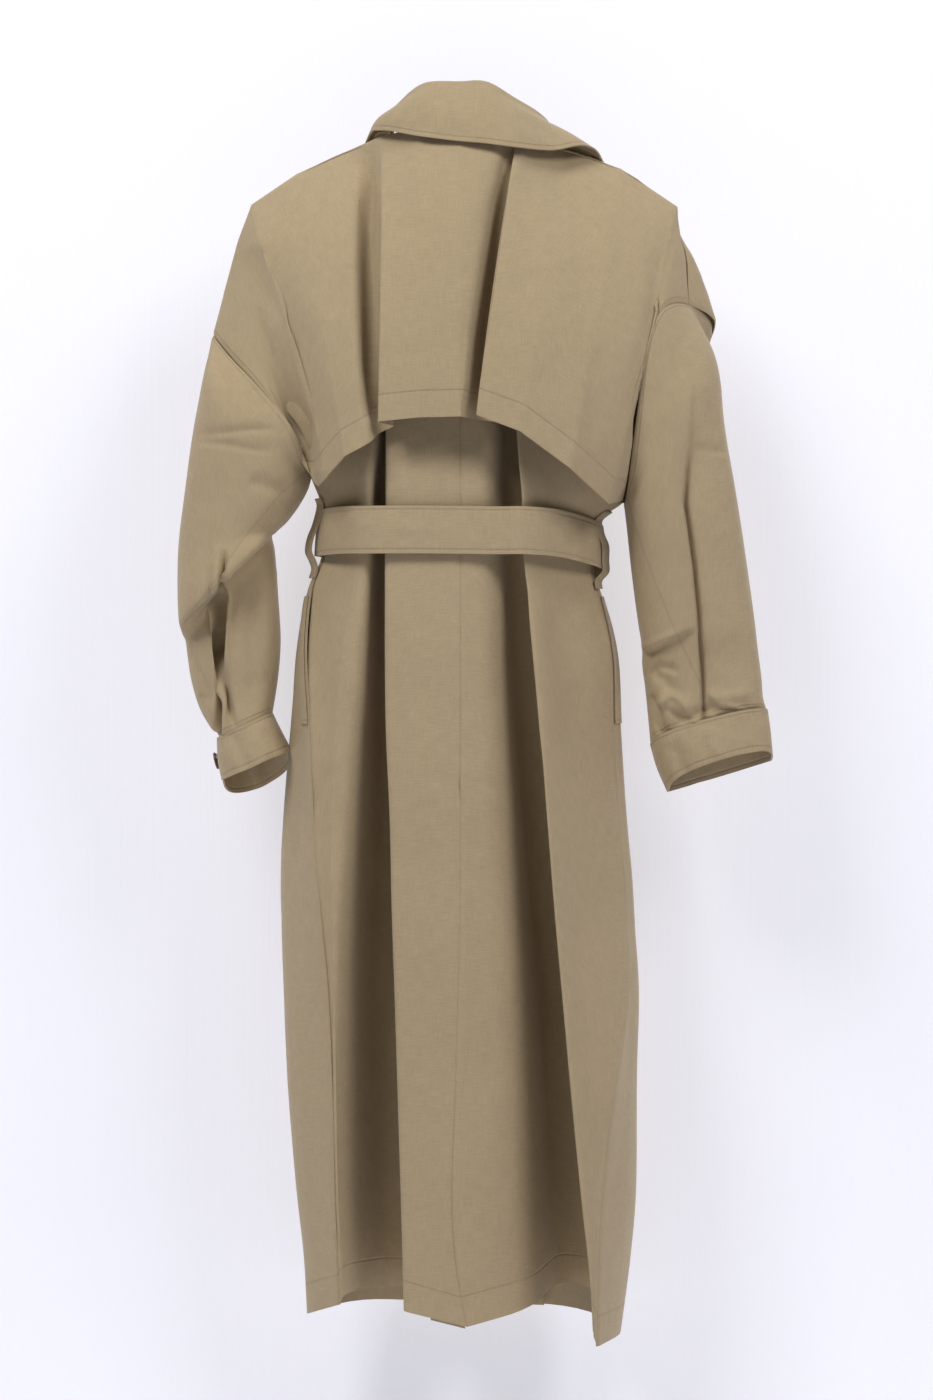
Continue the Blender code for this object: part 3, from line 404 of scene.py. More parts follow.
def creased(grid, marked, closed=False, turned=False):
    """The sheet pushed in and out along its marks, each of which is soft at its two ends."""
    out = outward(grid, closed, turned)
    lift = np.zeros(grid.shape[:2])
    for side, kind, height, before, after, points in marked:
        towards = out @ np.array(FACING[side], float)
        facing = np.clip((towards + TURNED_FROM) / TURNED_OVER, 0, 1)
        away, share = beside(seen_from(side, grid), points)
        ends = np.clip(np.minimum(share, 1 - share) * SOFT_ENDS, 0, 1) ** END_POWER
        if kind == "fold":
            shape = np.exp(-(away / np.where(away < 0, before, after)) ** 2)
        else:
            rise = 1 / (1 + np.exp(-np.clip(away / before, -30, 30)))
            shape = rise * np.exp(-np.maximum(away, 0) / after)
        lift += height * shape * ends * facing
    return grid + out * lift[..., None]


def lengths_along(grid, axis):
    """How far each point is along its row or column, in millimetres."""
    steps = np.linalg.norm(np.diff(grid, axis=axis), axis=2)
    start = np.zeros_like(steps[:1] if axis == 0 else steps[:, :1])
    return np.concatenate([start, np.cumsum(steps, axis=axis)], axis=axis)


def from_edges(grid):
    """How far each point is from each of the sheet's four edges, in millimetres."""
    across, down = lengths_along(grid, 1), lengths_along(grid, 0)
    return dict(first=across, last=across[:, -1:] - across, top=down, hem=down[-1:] - down)


def alone(piece):
    """The only piece selected, and the active one."""
    bpy.ops.object.select_all(action="DESELECT")
    bpy.context.view_layer.objects.active = piece
    piece.select_set(True)


def worn(node, grid, material, wall=1.2, closed=False, turned=False,
         seam=None):
    """The cloth in a solid's place: a thin wall on a sheet of points, which may close on itself.
    """
    if closed:
        grid = np.concatenate([grid, grid[:, :1]], axis=1)
    rows, columns = grid.shape[:2]
    index = np.arange(rows * columns).reshape(rows, columns)
    a, b, c, d = index[:-1, :-1], index[1:, :-1], index[1:, 1:], index[:-1, 1:]
    faces = np.stack([o.ravel() for o in ((a, d, c, b) if turned else (a, b, c, d))], axis=1)
    mesh = bpy.data.meshes.new(node + "_cloth")
    mesh.from_pydata((grid.reshape(-1, 3) * MM).tolist(), [], faces.tolist())
    edges = {key: value * MM for key, value in from_edges(grid).items()}
    across, down = edges["first"], edges["top"]
    spots = np.stack([across - across[:, columns // 2][:, None], -down], axis=-1)
    spots = spots.reshape(-1, 2)[faces.ravel()]
    mesh.uv_layers.new(name="cloth").data.foreach_set("uv", spots.astype("f").ravel())
    # The distance from the sleeve's seam line, along which its material paints a thin line of
    # shade.
    if seam:
        away = beside(seen_from("back", grid), np.array(seam, float))[0]
        hidden = outward(grid, closed, turned)[..., 1] > 0.2
        edges["line"] = np.where(hidden, 50.0, away) * MM
    for key, value in edges.items():
        layer = mesh.attributes.new(key, "FLOAT", "POINT")
        layer.data.foreach_set("value", np.ascontiguousarray(value, "f").ravel())
    mesh.materials.append(material)
    if closed:
        edit = bmesh.new()
        edit.from_mesh(mesh)
        edit.verts.ensure_lookup_table()
        pairs = {edit.verts[int(index[r, -1])]: edit.verts[int(index[r, 0])] for r in range(rows)}
        bmesh.ops.weld_verts(edit, targetmap=pairs)
        edit.to_mesh(mesh)
        edit.free()
    piece = bpy.data.objects.new(mesh.name, mesh)
    bpy.context.scene.collection.objects.link(piece)
    alone(piece)
    thicken = piece.modifiers.new("Wall", "SOLIDIFY")
    thicken.thickness = wall * MM
    thicken.offset = -1
    bpy.ops.object.modifier_apply(modifier="Wall")
    bpy.ops.object.shade_smooth_by_angle(angle=math.radians(60))
    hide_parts(node)
    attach(piece, "root")


def group(name, inputs, outputs):
    """An empty shader group with these named sockets; a pair is a name and its first value."""
    made = bpy.data.node_groups.new(name, "ShaderNodeTree")
    for label, value in inputs:
        kind = "NodeSocketVector" if value is None else "NodeSocketFloat"
        socket = made.interface.new_socket(label, in_out="INPUT", socket_type=kind)
        if value is not None:
            socket.default_value = value
    for label in outputs:
        made.interface.new_socket(label, in_out="OUTPUT", socket_type="NodeSocketFloat")
    return made, made.nodes.new("NodeGroupInput"), made.nodes.new("NodeGroupOutput")


class Value:
    """A number in a shader tree, so that arithmetic with it lays out Math nodes."""

    def __init__(self, socket):
        self.socket = socket

    def into(self, socket):
        """Linked to this input."""
        self.socket.id_data.links.new(self.socket, socket)

    def op(self, kind, *others, first=None):
        """The result of a Math node on this value and the others, or on `first` and this."""
        node = self.socket.id_data.nodes.new("ShaderNodeMath")
        node.operation = kind
        terms = (self, *others) if first is None else (first, self)
        for place, term in zip(node.inputs, terms):
            if isinstance(term, Value):
                term.into(place)
            else:
                place.default_value = term
        return Value(node.outputs[0])

    def __add__(self, other):
        return self.op("ADD", other)

    def __sub__(self, other):
        return self.op("SUBTRACT", other)

    def __rsub__(self, other):
        return self.op("SUBTRACT", first=other)

    def __mul__(self, other):
        return self.op("MULTIPLY", other)

    def __truediv__(self, other):
        return self.op("DIVIDE", other)

    def near(self, reach):
        """1 where this is 0, falling to 0 at `reach` on either side."""
        return (1.0 - self.op("ABSOLUTE") / reach).op("MAXIMUM", 0.0)


def material(name):
    """A new material, its shader, and where each point lies on its object."""
    made = bpy.data.materials.new(name)
    made.use_nodes = True
    place = made.node_tree.nodes.new("ShaderNodeTexCoord")
    return made, made.node_tree.nodes["Principled BSDF"], place.outputs["Object"]


def given(node, values):
    """The node's named inputs set to these values."""
    for name, value in values.items():
        node.inputs[name].default_value = value


def bumped(shader, height, strength, distance):
    """A bump in the shader's surface, `distance` metres deep."""
    bump = shader.id_data.nodes.new("ShaderNodeBump")
    given(bump, {"Strength": strength, "Distance": distance})
    height.into(bump.inputs["Height"])
    shader.id_data.links.new(bump.outputs[0], shader.inputs["Normal"])


def mottle(vector, scale, detail=3.0, stretch=(1, 1, 1)):
    """Noise from 0 to 1, stretched along the cloth's threads if asked."""
    tree = vector.id_data
    place = tree.nodes.new("ShaderNodeMapping")
    place.inputs["Scale"].default_value = stretch
    tree.links.new(vector, place.inputs["Vector"])
    noise = tree.nodes.new("ShaderNodeTexNoise")
    given(noise, {"Scale": scale, "Detail": detail})
    tree.links.new(place.outputs[0], noise.inputs["Vector"])
    return Value(noise.outputs["Fac"])


def split(vector):
    """The parts of a vector across and down the cloth."""
    parts = vector.id_data.nodes.new("ShaderNodeSeparateXYZ")
    vector.id_data.links.new(vector, parts.inputs[0])
    return Value(parts.outputs[0]), Value(parts.outputs[1])


FULL_TURN = 6.283


def weave_group():
    """Twill: fine slanting ribs, and slubs along both threads."""
    made, start, end = group("Twill weave", (("Vector", None), ("Rib", 900.0)), ("Height", "Tone"))
    vector, rib = start.outputs["Vector"], Value(start.outputs["Rib"])
    across, down = split(vector)
    ribs = ((across + down * 1.6) * (rib * FULL_TURN)).op("SINE")
    warp = mottle(vector, 1.0, 2.0, (900, 60, 1))
    weft = mottle(vector, 1.0, 2.0, (70, 1100, 1))
    slub = warp + weft * 1.3
    (ribs * 0.1 + slub).into(end.inputs["Height"])
    slub.into(end.inputs["Tone"])
    return made


def stitch_group():
    """One row of topstitching at a set distance from an edge: thread, and the dent it pulls in."""
    sockets = (("Distance", 0.0), ("Along", 0.0), ("Place", 0.006), ("Length", 0.0028))
    made, start, end = group("Topstitch row", sockets, ("Thread", "Dent"))
    distance, along, place, length = [Value(start.outputs[name]) for name, _ in sockets]
    off = distance - place
    beat = (along * FULL_TURN / length).op("SINE") + 0.7
    stitch = beat.op("MINIMUM", 1.0).op("MAXIMUM", 0.0)
    (off.near(0.00055) * stitch).into(end.inputs["Thread"])
    off.near(0.0016).into(end.inputs["Dent"])
    return made


WEAVE, STITCH = weave_group(), stitch_group()
KHAKI = (0.398, 0.306, 0.183)
# Shares of the khaki: broad, fine, weave and thread are the cloth's own tone; dent and seam are
# painted shade in stitch dents and along seams.
TONE_AND_SHADE = dict(broad=0.10, fine=0.12, weave=0.24, thread=0.16, dent=0.10, seam=0.12)
RELIEF = dict(weave=0.35, ripple=6.0, swell=16.0, dent=1.6, thread=0.9)
# The middle of the weave's tone, and how far the painted shade at a seam reaches, in metres.
MIDDLE_OF_WEAVE, SEAM_SHADE_REACH = 1.15, 0.0018


def gabardine(name, rows, shaded_seams=("first", "last")):
    """Khaki cotton with its weave, slubs and faint sheen, and painted shade at seams and stitch
    dents.

    A row of topstitching is the edge that it follows and how far in it lies, in metres.
    """
    made, shader, where = material(name)
    tree = made.node_tree
    coat = tree.nodes.new("ShaderNodeUVMap")
    coat.uv_map = "cloth"
    weave = tree.nodes.new("ShaderNodeGroup")
    weave.node_tree = WEAVE
    tree.links.new(coat.outputs[0], weave.inputs["Vector"])
    across, down = split(coat.outputs[0])
    distance = {}
    for key in sorted({key for key, _ in rows} | set(shaded_seams)):
        node = tree.nodes.new("ShaderNodeAttribute")
        node.attribute_name = key
        distance[key] = Value(node.outputs["Fac"])
    found = []
    for key, place in rows:
        row = tree.nodes.new("ShaderNodeGroup")
        row.node_tree = STITCH
        row.inputs["Place"].default_value = place
        distance[key].into(row.inputs["Distance"])
        (across if key in ("top", "hem") else down).into(row.inputs["Along"])
        found.append([Value(row.outputs["Thread"]), Value(row.outputs["Dent"])])
    thread, dent = found[0]
    for more_thread, more_dent in found[1:]:
        thread, dent = thread.op("MAXIMUM", more_thread), dent.op("MAXIMUM", more_dent)
    broad, fine = mottle(where, 7.0, 3.0), mottle(where, 90.0, 4.0)
    tone_and_shade = (broad - 0.5) * TONE_AND_SHADE["broad"] + (fine - 0.5) * TONE_AND_SHADE["fine"]
    tone_and_shade = tone_and_shade + (Value(weave.outputs["Tone"]) - MIDDLE_OF_WEAVE) * TONE_AND_SHADE["weave"]
    # Stitch dents, and below them the seams and sewn edges, are darkened as painted shade.
    tone_and_shade = tone_and_shade + thread * TONE_AND_SHADE["thread"] - dent * TONE_AND_SHADE["dent"]
    for key in shaded_seams:
        tone_and_shade = tone_and_shade - distance[key].near(SEAM_SHADE_REACH) * TONE_AND_SHADE["seam"]
    dye_and_shade = tree.nodes.new("ShaderNodeVectorMath")
    dye_and_shade.operation = "SCALE"
    dye_and_shade.inputs[0].default_value = KHAKI
    (tone_and_shade + 1.0).into(dye_and_shade.inputs["Scale"])
    tree.links.new(dye_and_shade.outputs[0], shader.inputs["Base Color"])
    (fine * 0.12 + 0.76).into(shader.inputs["Roughness"])
    height = Value(weave.outputs["Height"]) * RELIEF["weave"]
    height = height + mottle(where, 24.0, 2.0) * RELIEF["ripple"]
    height = height + mottle(where, 8.0, 1.0) * RELIEF["swell"]
    bumped(shader, height - dent * RELIEF["dent"] + thread * RELIEF["thread"], 0.8, 0.0005)
    given(shader, {"Specular IOR Level": 0.25, "Sheen Weight": 0.12, "Sheen Roughness": 0.5})
    return made


TUCK_DEPTH, TUCK_WIDTH = 1.3, 2.6


def tucked(grid, edges, closed=False, turned=False):
    """The sheet's sewn edges turned slightly in, as at a pressed seam."""
    away = from_edges(grid)
    lift = np.zeros(grid.shape[:2])
    for key in edges:
        lift -= TUCK_DEPTH * np.exp(-(away[key] / TUCK_WIDTH) ** 2)
    return grid + outward(grid, closed, turned) * lift[..., None]


BACK_MARKS = dict(left=marks("""
 side  kind height before after  points
 back fold -2.5 10 26  -150,395 -151,440 -158,500 -160,560
 back fold 2.5 16 22  -128,440 -118,520 -112,600
 back step -3.5 3 12  -150,470 -155,500 -154,540 -149,574 -147,604
 back fold -1.8 7 10  -30,668 -18,662 -4,664 10,672
 back fold 1.2 14 22  -55,470 -45,620 -40,800
 back fold -1.4 16 18  -30,900 -34,1040 -38,1160
 back fold -1.6 12 18  -140,760 -134,900 -126,1020 -121,1140
 back fold 2 16 20  -164,700 -168,860 -160,1020
 back fold -1.4 8 12  -120,640 -138,668 -160,690
"""), right=marks("""
 side  kind height before after  points
 back fold 1.2 14 20  22,450 24,600 30,760
 back fold -2.6 12 20  96,452 100,520 112,600 120,680
 back fold 2 14 16  80,470 92,560 98,640
 back fold 2.4 12 20  120,470 140,540 150,640
 back fold 2 14 24  140,800 150,900 152,1000
 back fold -1.2 8 10  12,680 24,664 40,660
 back fold 1.6 16 20  20,980 16,1080 14,1170
 back fold -1.8 12 18  118,720 126,840 128,960
"""))
JOIN = (ROWS_UP - 10, ROWS_UP + 14)
BACK_CLOTH = gabardine("Khaki back", [("hem", 0.030)])
backs = dict(zip(("left", "right"), back_grids()))
for side, grid in backs.items():
    grid = creased(eased(grid, 14, JOIN), BACK_MARKS[side])
    backs[side] = tucked(grid, ("first", "last"))
    worn(f"back_{side}", backs[side], BACK_CLOTH)


def laid_on(grid, rows, widths, lift, columns, start, turned):
    """A strip on a panel, `widths` wide at each row, `start` in from the first column."""
    out = outward(grid, turned=turned)
    strip = []
    for row, width in zip(rows, np.broadcast_to(widths, len(rows))):
        low = int(min(row, len(grid) - 2))
        share = row - low
        line = grid[low] * (1 - share) + grid[low + 1] * share
        way = out[low] * (1 - share) + out[low + 1] * share
        places = np.concatenate([[0], np.cumsum(np.linalg.norm(np.diff(line, axis=0), axis=1))])
        distances = start + np.linspace(0, 1, columns) * width
        point, push = [np.stack([np.interp(distances, places, values[:, i]) for i in range(3)], 1)
                       for values in (line, way)]
        strip.append(point + push * np.broadcast_to(lift, columns)[:, None])
    return np.array(strip)


# The facing: its width, its place behind the back and in from the seam, and how far it shows.
FACING_WIDTH, FACING_BEHIND, FACING_IN, FACING_SHOWS = 36, -2.0, 1.5, 2.5
vent_rows = np.linspace(ROWS_UP + ROWS_DOWN * 8 / 12, ROWS_UP + ROWS_DOWN - 1, 64)
facing = laid_on(backs["left"][:, ::-1], vent_rows, FACING_WIDTH, FACING_BEHIND, columns=9,
                 start=FACING_IN, turned=True)
facing[-3:, :, 2] -= FACING_SHOWS
worn("vent_facing", facing, BACK_CLOTH, turned=True)


# --- The fronts ---------------------------------------------------------------------------
# The two fronts, hidden from behind: each runs from its side seam past the middle, where the
# right one lies over the left. Their necklines are turned back as lapels.

FRONT = table("""
    zl    zr out_lx out_ly out_rx out_ry front_y corner_lx corner_rx
  -352  -378   -151     70    172     72     116      -104       120
  -386  -402   -138     72    140     72     112       -98       108
  -411  -425   -137     72    140     72     110       -96       102
  -437  -450   -142     72    144     72     112       -98       104
  -470  -480   -158     70    154     72     116      -108       112
  -530  -534   -169     68    166     74     122      -116       120
  -610  -610   -179     64    171     76     128      -122       124
  -700  -700   -189     62    177     78     136      -128       128
  -790  -790   -196     60    186     78     144      -130       134
  -880  -880   -195     58    194     74     150      -128       138
  -980  -980   -190     58    196     64     156      -124       138
 -1080 -1080   -180     56    197     56     160      -118       138
 -1150 -1150   -171     54    190     52     163      -112       134
 -1214 -1226   -167     52    178     50     164      -110       126
""")
FRONT_ROUNDS = dict(out=(40, 60), corner=(30, 60), face=(30, 60))
OVERLAP, LAYER = 92, 8
EDGE_LEFT = table("""
 share   x     y    z
     0 -93    38  -11
  0.12 -86    66  -54
   0.3 -66    97 -116
  0.52   0   107 -190
   0.8  84 103.5 -262
     1  92   108 -300
""")
EDGE_RIGHT = table("""
 share   x   y    z
     0  97  38  -13
  0.12  93  68  -57
   0.3  71 104 -120
  0.52   4 117 -194
   0.8 -84 119 -262
     1 -92 119 -300
""")
FRONT_TOPS = dict(left=(("out", -228, -16), ("corner", -180, -6), ("face", -125, 0)),
                  right=(("out", 231, 44), ("corner", 192, 18), ("face", 130, 0)))


def front_grid(side):
    """One front from its armhole and side seam to its free edge; the right one lies outside."""
    letter, way = side[0], -1 if side == "left" else 1
    rows, edge_rows = (ARMHOLE_LEFT, EDGE_LEFT) if side == "left" else (ARMHOLE_RIGHT, EDGE_RIGHT)
    depth = column(FRONT, "front_y")[:, 0] + way * LAYER / 2
    lines = [(side, np.vstack([armhole(rows, 1 - UPPER * UNDERARM), side_seam(side)]))]
    out = column(FRONT, f"out_{letter}x", f"out_{letter}y")
    corner = np.column_stack([column(FRONT, f"corner_{letter}x"), depth])
    face = np.column_stack([np.full(len(depth), way * 30.0), depth])
    edge = np.column_stack([np.full(len(depth), -way * OVERLAP), depth])
    for (line, top_x, bow), xy in zip(FRONT_TOPS[side], (out, corner, face)):
        below = below_arms(xy, FRONT)
        upper = fall(shoulder_edge(top_x), below[0], bow, drop=2.0)
        lines.append((line, np.vstack([upper, below])))
    below = below_arms(edge, FRONT)
    points = np.vstack([column(edge_rows, "x", "y", "z"), below[0]])
    places = np.append(column(edge_rows, "share")[:, 0] * 0.8, 1.0)
    lines.append(("edge", np.vstack([smooth(places, points, UPPER), below])))
    return panel(lines, FRONT_ROUNDS, ROW_SHARE, spacing=7.0)


FRONT_MARKS = dict(left=marks("""
 side  kind height before after  points
 front fold -3 18 26  -120,330 -128,470 -134,640
 front fold 3 20 30  -90,520 -96,760 -88,1000
 front fold -3.4 22 22  -140,700 -132,900 -120,1120
 front fold -3 16 24  -150,120 -140,200 -128,290
 front fold 3 12 20  -196,190 -170,240 -150,320
 left fold 2.4 16 24  60,470 52,620 46,800
 left fold -2.4 16 20  20,560 24,760 26,960
"""), right=marks("""
 side  kind height before after  points
 front fold -3 18 26  120,330 112,480 118,660
 front fold 3 20 30  86,500 92,740 84,960
 front fold -2.4 24 26  36,640 30,860 38,1080
 front fold -3.2 22 22  140,640 132,860 122,1090
 front fold 2.2 24 26  -60,700 -66,900 -58,1130
 front fold -3 16 24  160,130 150,210 138,300
 front fold 2.6 12 20  206,180 190,250 178,330
 front fold 1.8 6 12  -70,455 -20,448 40,452 90,462
 right fold 5 18 30  36,112 46,142 52,176 58,212
 right fold 2.4 16 24  64,480 70,640 66,820
 right fold -2 16 20  30,600 26,800 10,1000
"""))
fronts = {}
FRONT_CLOTH = gabardine("Khaki front", [("hem", 0.030), ("last", 0.009)])
for side in ("left", "right"):
    turned = side == "left"
    grid = eased(front_grid(side), 12, JOIN)
    fronts[side] = creased(grid, FRONT_MARKS[side], turned=turned)
    shown = tucked(fronts[side], ("first", "top"), turned=turned)
    worn(f"front_{side}", shown, FRONT_CLOTH, turned=turned)


def row_at(grid, column_at, height):
    """The row, with its fraction, at which a column of a sheet passes this height."""
    z = grid[:, column_at, 2]
    return float(np.interp(-height, -z, np.arange(len(z))))


LAPEL = table("""
 height width
   -122    62
   -150    62
   -178    56
   -206    46
   -234    32
   -262    16
   -284     5
""")
LAPEL_CLOTH = gabardine("Khaki lapel", [("last", 0.006), ("hem", 0.006)])
# The top of the lapels, the foot and number of rows of each, and how they rise off the front.
LAPEL_TOP, LAPEL_ENDS = -122, dict(left=(-178, 20), right=(-284, 48))
LAPEL_LOW, LAPEL_RISE, LAPEL_COLUMNS = 0.6, 4.2, 13
for side, grid in fronts.items():
    end, count = LAPEL_ENDS[side]
    turned = side == "right"
    heights = np.linspace(LAPEL_TOP, end, count)
    widths = smooth(-column(LAPEL, "height")[:, 0], column(LAPEL, "width"), -heights)[:, 0]
    rows = [row_at(grid, -1, height) for height in heights]
    off_fold = np.minimum(np.linspace(0, 1, LAPEL_COLUMNS) * 5, 1) ** 0.6
    strip = laid_on(grid[:, ::-1], rows, widths, LAPEL_LOW + LAPEL_RISE * off_fold,
                    columns=LAPEL_COLUMNS, start=0.2, turned=turned)
    worn(f"lapel_{side}", strip, LAPEL_CLOTH, turned=turned)

WELT_TOP, WELT_FOOT, WELT_WIDTH, WELT_LIFT, WELT_START = -474, -604, 22, 1.6, 3.0
WELT_CLOTH = gabardine("Khaki welt", [("last", 0.003), ("top", 0.003), ("hem", 0.003)])
for side, grid in fronts.items():
    turned = side == "left"
    rows = [row_at(grid, 0, height) for height in np.linspace(WELT_TOP, WELT_FOOT, 40)]
    strip = laid_on(grid, rows, WELT_WIDTH, WELT_LIFT, columns=9, start=WELT_START, turned=turned)
    worn(f"pocket_welt_{side}", strip, WELT_CLOTH, turned=turned)


# --- The cape -----------------------------------------------------------------------------
# One wide piece of the same cotton, sewn in at the neck, shoulders and armholes and loose at
# its hem. It hangs in two open folds, and its hem is turned up and stitched once round.

CAPE = table("""
 line      top_x bow hem_x hem_y hem_z deeper round
 ridge_l    -240   2  -145   -11  -360     -8     0
 trough_l   -226  -2  -140   -11  -366     -4     6
 rise_l     -212  -4  -132   -38  -360    -10     0
 left       -165   2  -112   -60  -339      0     0
 fold_l      -99 -10   -85   -64  -325      0     9
 in_l        -91  -6   -78   -40  -314      3     7
 deep_l      -84  10   -62   -40  -307      3     6
 crisp_l     -78   1   -80   -66  -305      0     5
 back_l      -38   0   -38   -68  -301      0     0
 middle        3   0     4   -68  -300      0     0
 turn         44   2     4   -66  -300      0    14
 in_r         54  -2    22   -41  -300     12     7
 deep_r       63   6    44   -41  -304     12     6
 crisp_r      60  -2    17   -72  -298      0     5
 right       112   0    62   -74  -315      0     0
 right_out   168   0   112   -66  -351      0     0
 ridge_r     226   2   152   -26  -384    -14     0
""")
CAPE_CORNER = 0.485
CAPE_MARKS = marks("""
 side  kind height before after  points
 back fold -14 9 26  -206,128 -192,166 -178,204 -168,248 -160,292 -153,330 -149,352
 back fold 2 18 26  -150,160 -132,230 -118,300
 back fold 2 12 10  -100,60 -104,140 -98,230 -94,310
 back fold -7 10 4  -84,30 -86,90 -87,160 -87,230 -86,300
 back fold -3 16 12  40,40 34,110 26,180 14,260
 back fold 1.2 14 16  10,40 6,120 -2,220
 back fold -1 16 20  -40,60 -46,160 -44,270
 back fold -2.4 14 22  118,60 128,140 136,230 140,320
 back fold 1.6 16 20  84,70 86,160 84,260
 back fold 2.4 14 18  176,90 186,160 184,230 180,300
 back fold -4.5 12 6  219,92 212,124 204,158 197,196 189,232 183,268 176,320
 back fold 1.6 5 6  66,26 62,40 60,62
 right fold 5 18 30  36,112 46,142 52,176 58,212
""")
CAPE_ROWS = 66
shares = smooth(np.arange(12), KNOTS, np.linspace(0, 11, CAPE_ROWS))
cape_lines = [("arm_left", armhole(ARMHOLE_LEFT, shares * CAPE_CORNER))]
for row in CAPE:
    end = (row["hem_x"], row["hem_y"], row["hem_z"])
    line = fall(shoulder_edge(row["top_x"]), end, row["bow"], shares)
    line[:, 1] += row["deeper"] * 4 * shares * (1 - shares)
    cape_lines.append((row["line"], line))
cape_lines.append(("arm_right", armhole(ARMHOLE_RIGHT, shares * CAPE_CORNER)))
cape_rounds = {row["line"]: (row["round"], row["round"]) for row in CAPE if row["round"]}
cape = panel(cape_lines, cape_rounds, np.linspace(0, 1, CAPE_ROWS), spacing=4.5)
cape = tucked(creased(cape, CAPE_MARKS), ("first", "last", "top"))
CAPE_CLOTH = gabardine("Khaki cape", [("hem", 0.026), ("first", 0.005), ("last", 0.005)],
                       shaded_seams=("first", "last", "hem"))
worn("cape_back", cape, CAPE_CLOTH)


# --- The sleeves and cuffs ----------------------------------------------------------------
# Two wide sleeves of the same cotton, crumpled at the elbows, each with a fold down its
# forearm, and a firm turned band at the wrist.

SLEEVE_LEFT = table("""
 in_x in_z out_x out_z mid back front tuck_y tuck_z
 -154 -366  -259  -256  38   62    66      0      0
 -162 -380  -268  -300  40   62    64      0      0
 -174 -396  -277  -362  42   60    60      0      0
 -186 -407  -285  -432  44   58    56      0      0
 -190 -413  -284  -498  46   54    52     -8     -7
 -188 -424  -282  -511  50   44    50      8      5
 -184 -478  -279  -530  52   42    50      0      0
 -182 -520  -273  -562  54   42    50      0      0
 -185 -558  -263  -592  56   40    50      0      0
""")
SLEEVE_RIGHT = table("""
 in_x in_z out_x out_z mid back front tuck_y tuck_z
  172 -388   264  -236  36   60    66      0      0
  174 -404   272  -298  38   58    62      0      0
  177 -432   283  -362  40   56    58      0      0
  181 -466   292  -416  42   52    54      0      0
  186 -502   300  -466  44   48    50      0      0
  190 -530   306  -510  46   44    48      0      0
  190 -543   308  -526  48   41    46      0      0
  193 -566   312  -556  50   38    44      0      0
  196 -594   314  -578  52   38    42      0      0
""")
CUFF_LEFT = table("""
 in_x in_z out_x out_z mid back front tuck_z far_drop
 -191 -593  -246  -619  58   44    52      0        3
 -181 -613  -245  -641  58   48    56      0       13
 -171 -632  -241  -662  58   50    58      0       24
""")
CUFF_RIGHT = table("""
 in_x in_z out_x out_z mid back front tuck_z far_drop
  199 -625   318  -594  54   38    42     12        0
  206 -649   321  -618  54   40    44     15        1
  217 -674   323  -642  54   40    46     18        3
""")
BEFORE_GROOVE = (0, 0.08, 0.26, 0.5, 0.74, 0.9)
AFTER_GROOVE = (0.12, 0.3, 0.6, 0.88)
# Where each sleeve's groove lies across it, how deep it is, and the ring where it starts.
GROOVES = dict(left=(0.62, 12, 4), right=(0.52, 0, 2))
GROOVE_WIDTH, ROUND, RINGS = 0.04, 144, 150
BOXINESS, CUFF_OUT, CUFF_RINGS = 0.6, 0.8, 20


def around(place):
    """The angles at which a ring is read, and their places in the armhole's loop."""
    across = [place * share for share in BEFORE_GROOVE] + [place]
    across += [place + (1 - place) * share for share in AFTER_GROOVE]
    back = np.arccos(1 - 2 * np.array(across))
    front = np.linspace(math.pi, 2 * math.pi, len(back) + 1)[:-1]
    angles = np.concatenate([back, front, [2 * math.pi]])
    knots = np.array(KNOTS) * UNDERARM
    loop = np.concatenate([knots[:0:-1], -knots[:-1], [-UNDERARM]])
    where = np.linspace(0, len(angles) - 1, ROUND + 1)[:-1]
    every = np.arange(len(angles))
    return smooth(every, angles, where), smooth(every, loop, where)


def ring(row, angle):
    """One section of a sleeve, from its inner end round the back and then the front."""
    across = (1 - np.cos(angle)) / 2
    depth = np.sign(np.sin(angle)) * np.abs(np.sin(angle)) ** BOXINESS
    is_back = depth > 0
    points = np.empty((len(angle), 3))
    points[:, 0] = row["in_x"] + (row["out_x"] - row["in_x"]) * across
    points[:, 2] = row["in_z"] + (row["out_z"] - row["in_z"]) * across
    points[:, 1] = row["mid"] - depth * np.where(is_back, row["back"], row["front"])
    held = np.where(is_back, depth, 0)
    points[:, 1] += held * row.get("tuck_y", 0)
    points[:, 2] += held * row.get("tuck_z", 0)
    points[:, 2] += np.where(is_back, 0, depth) * row.get("far_drop", 0)
    return points


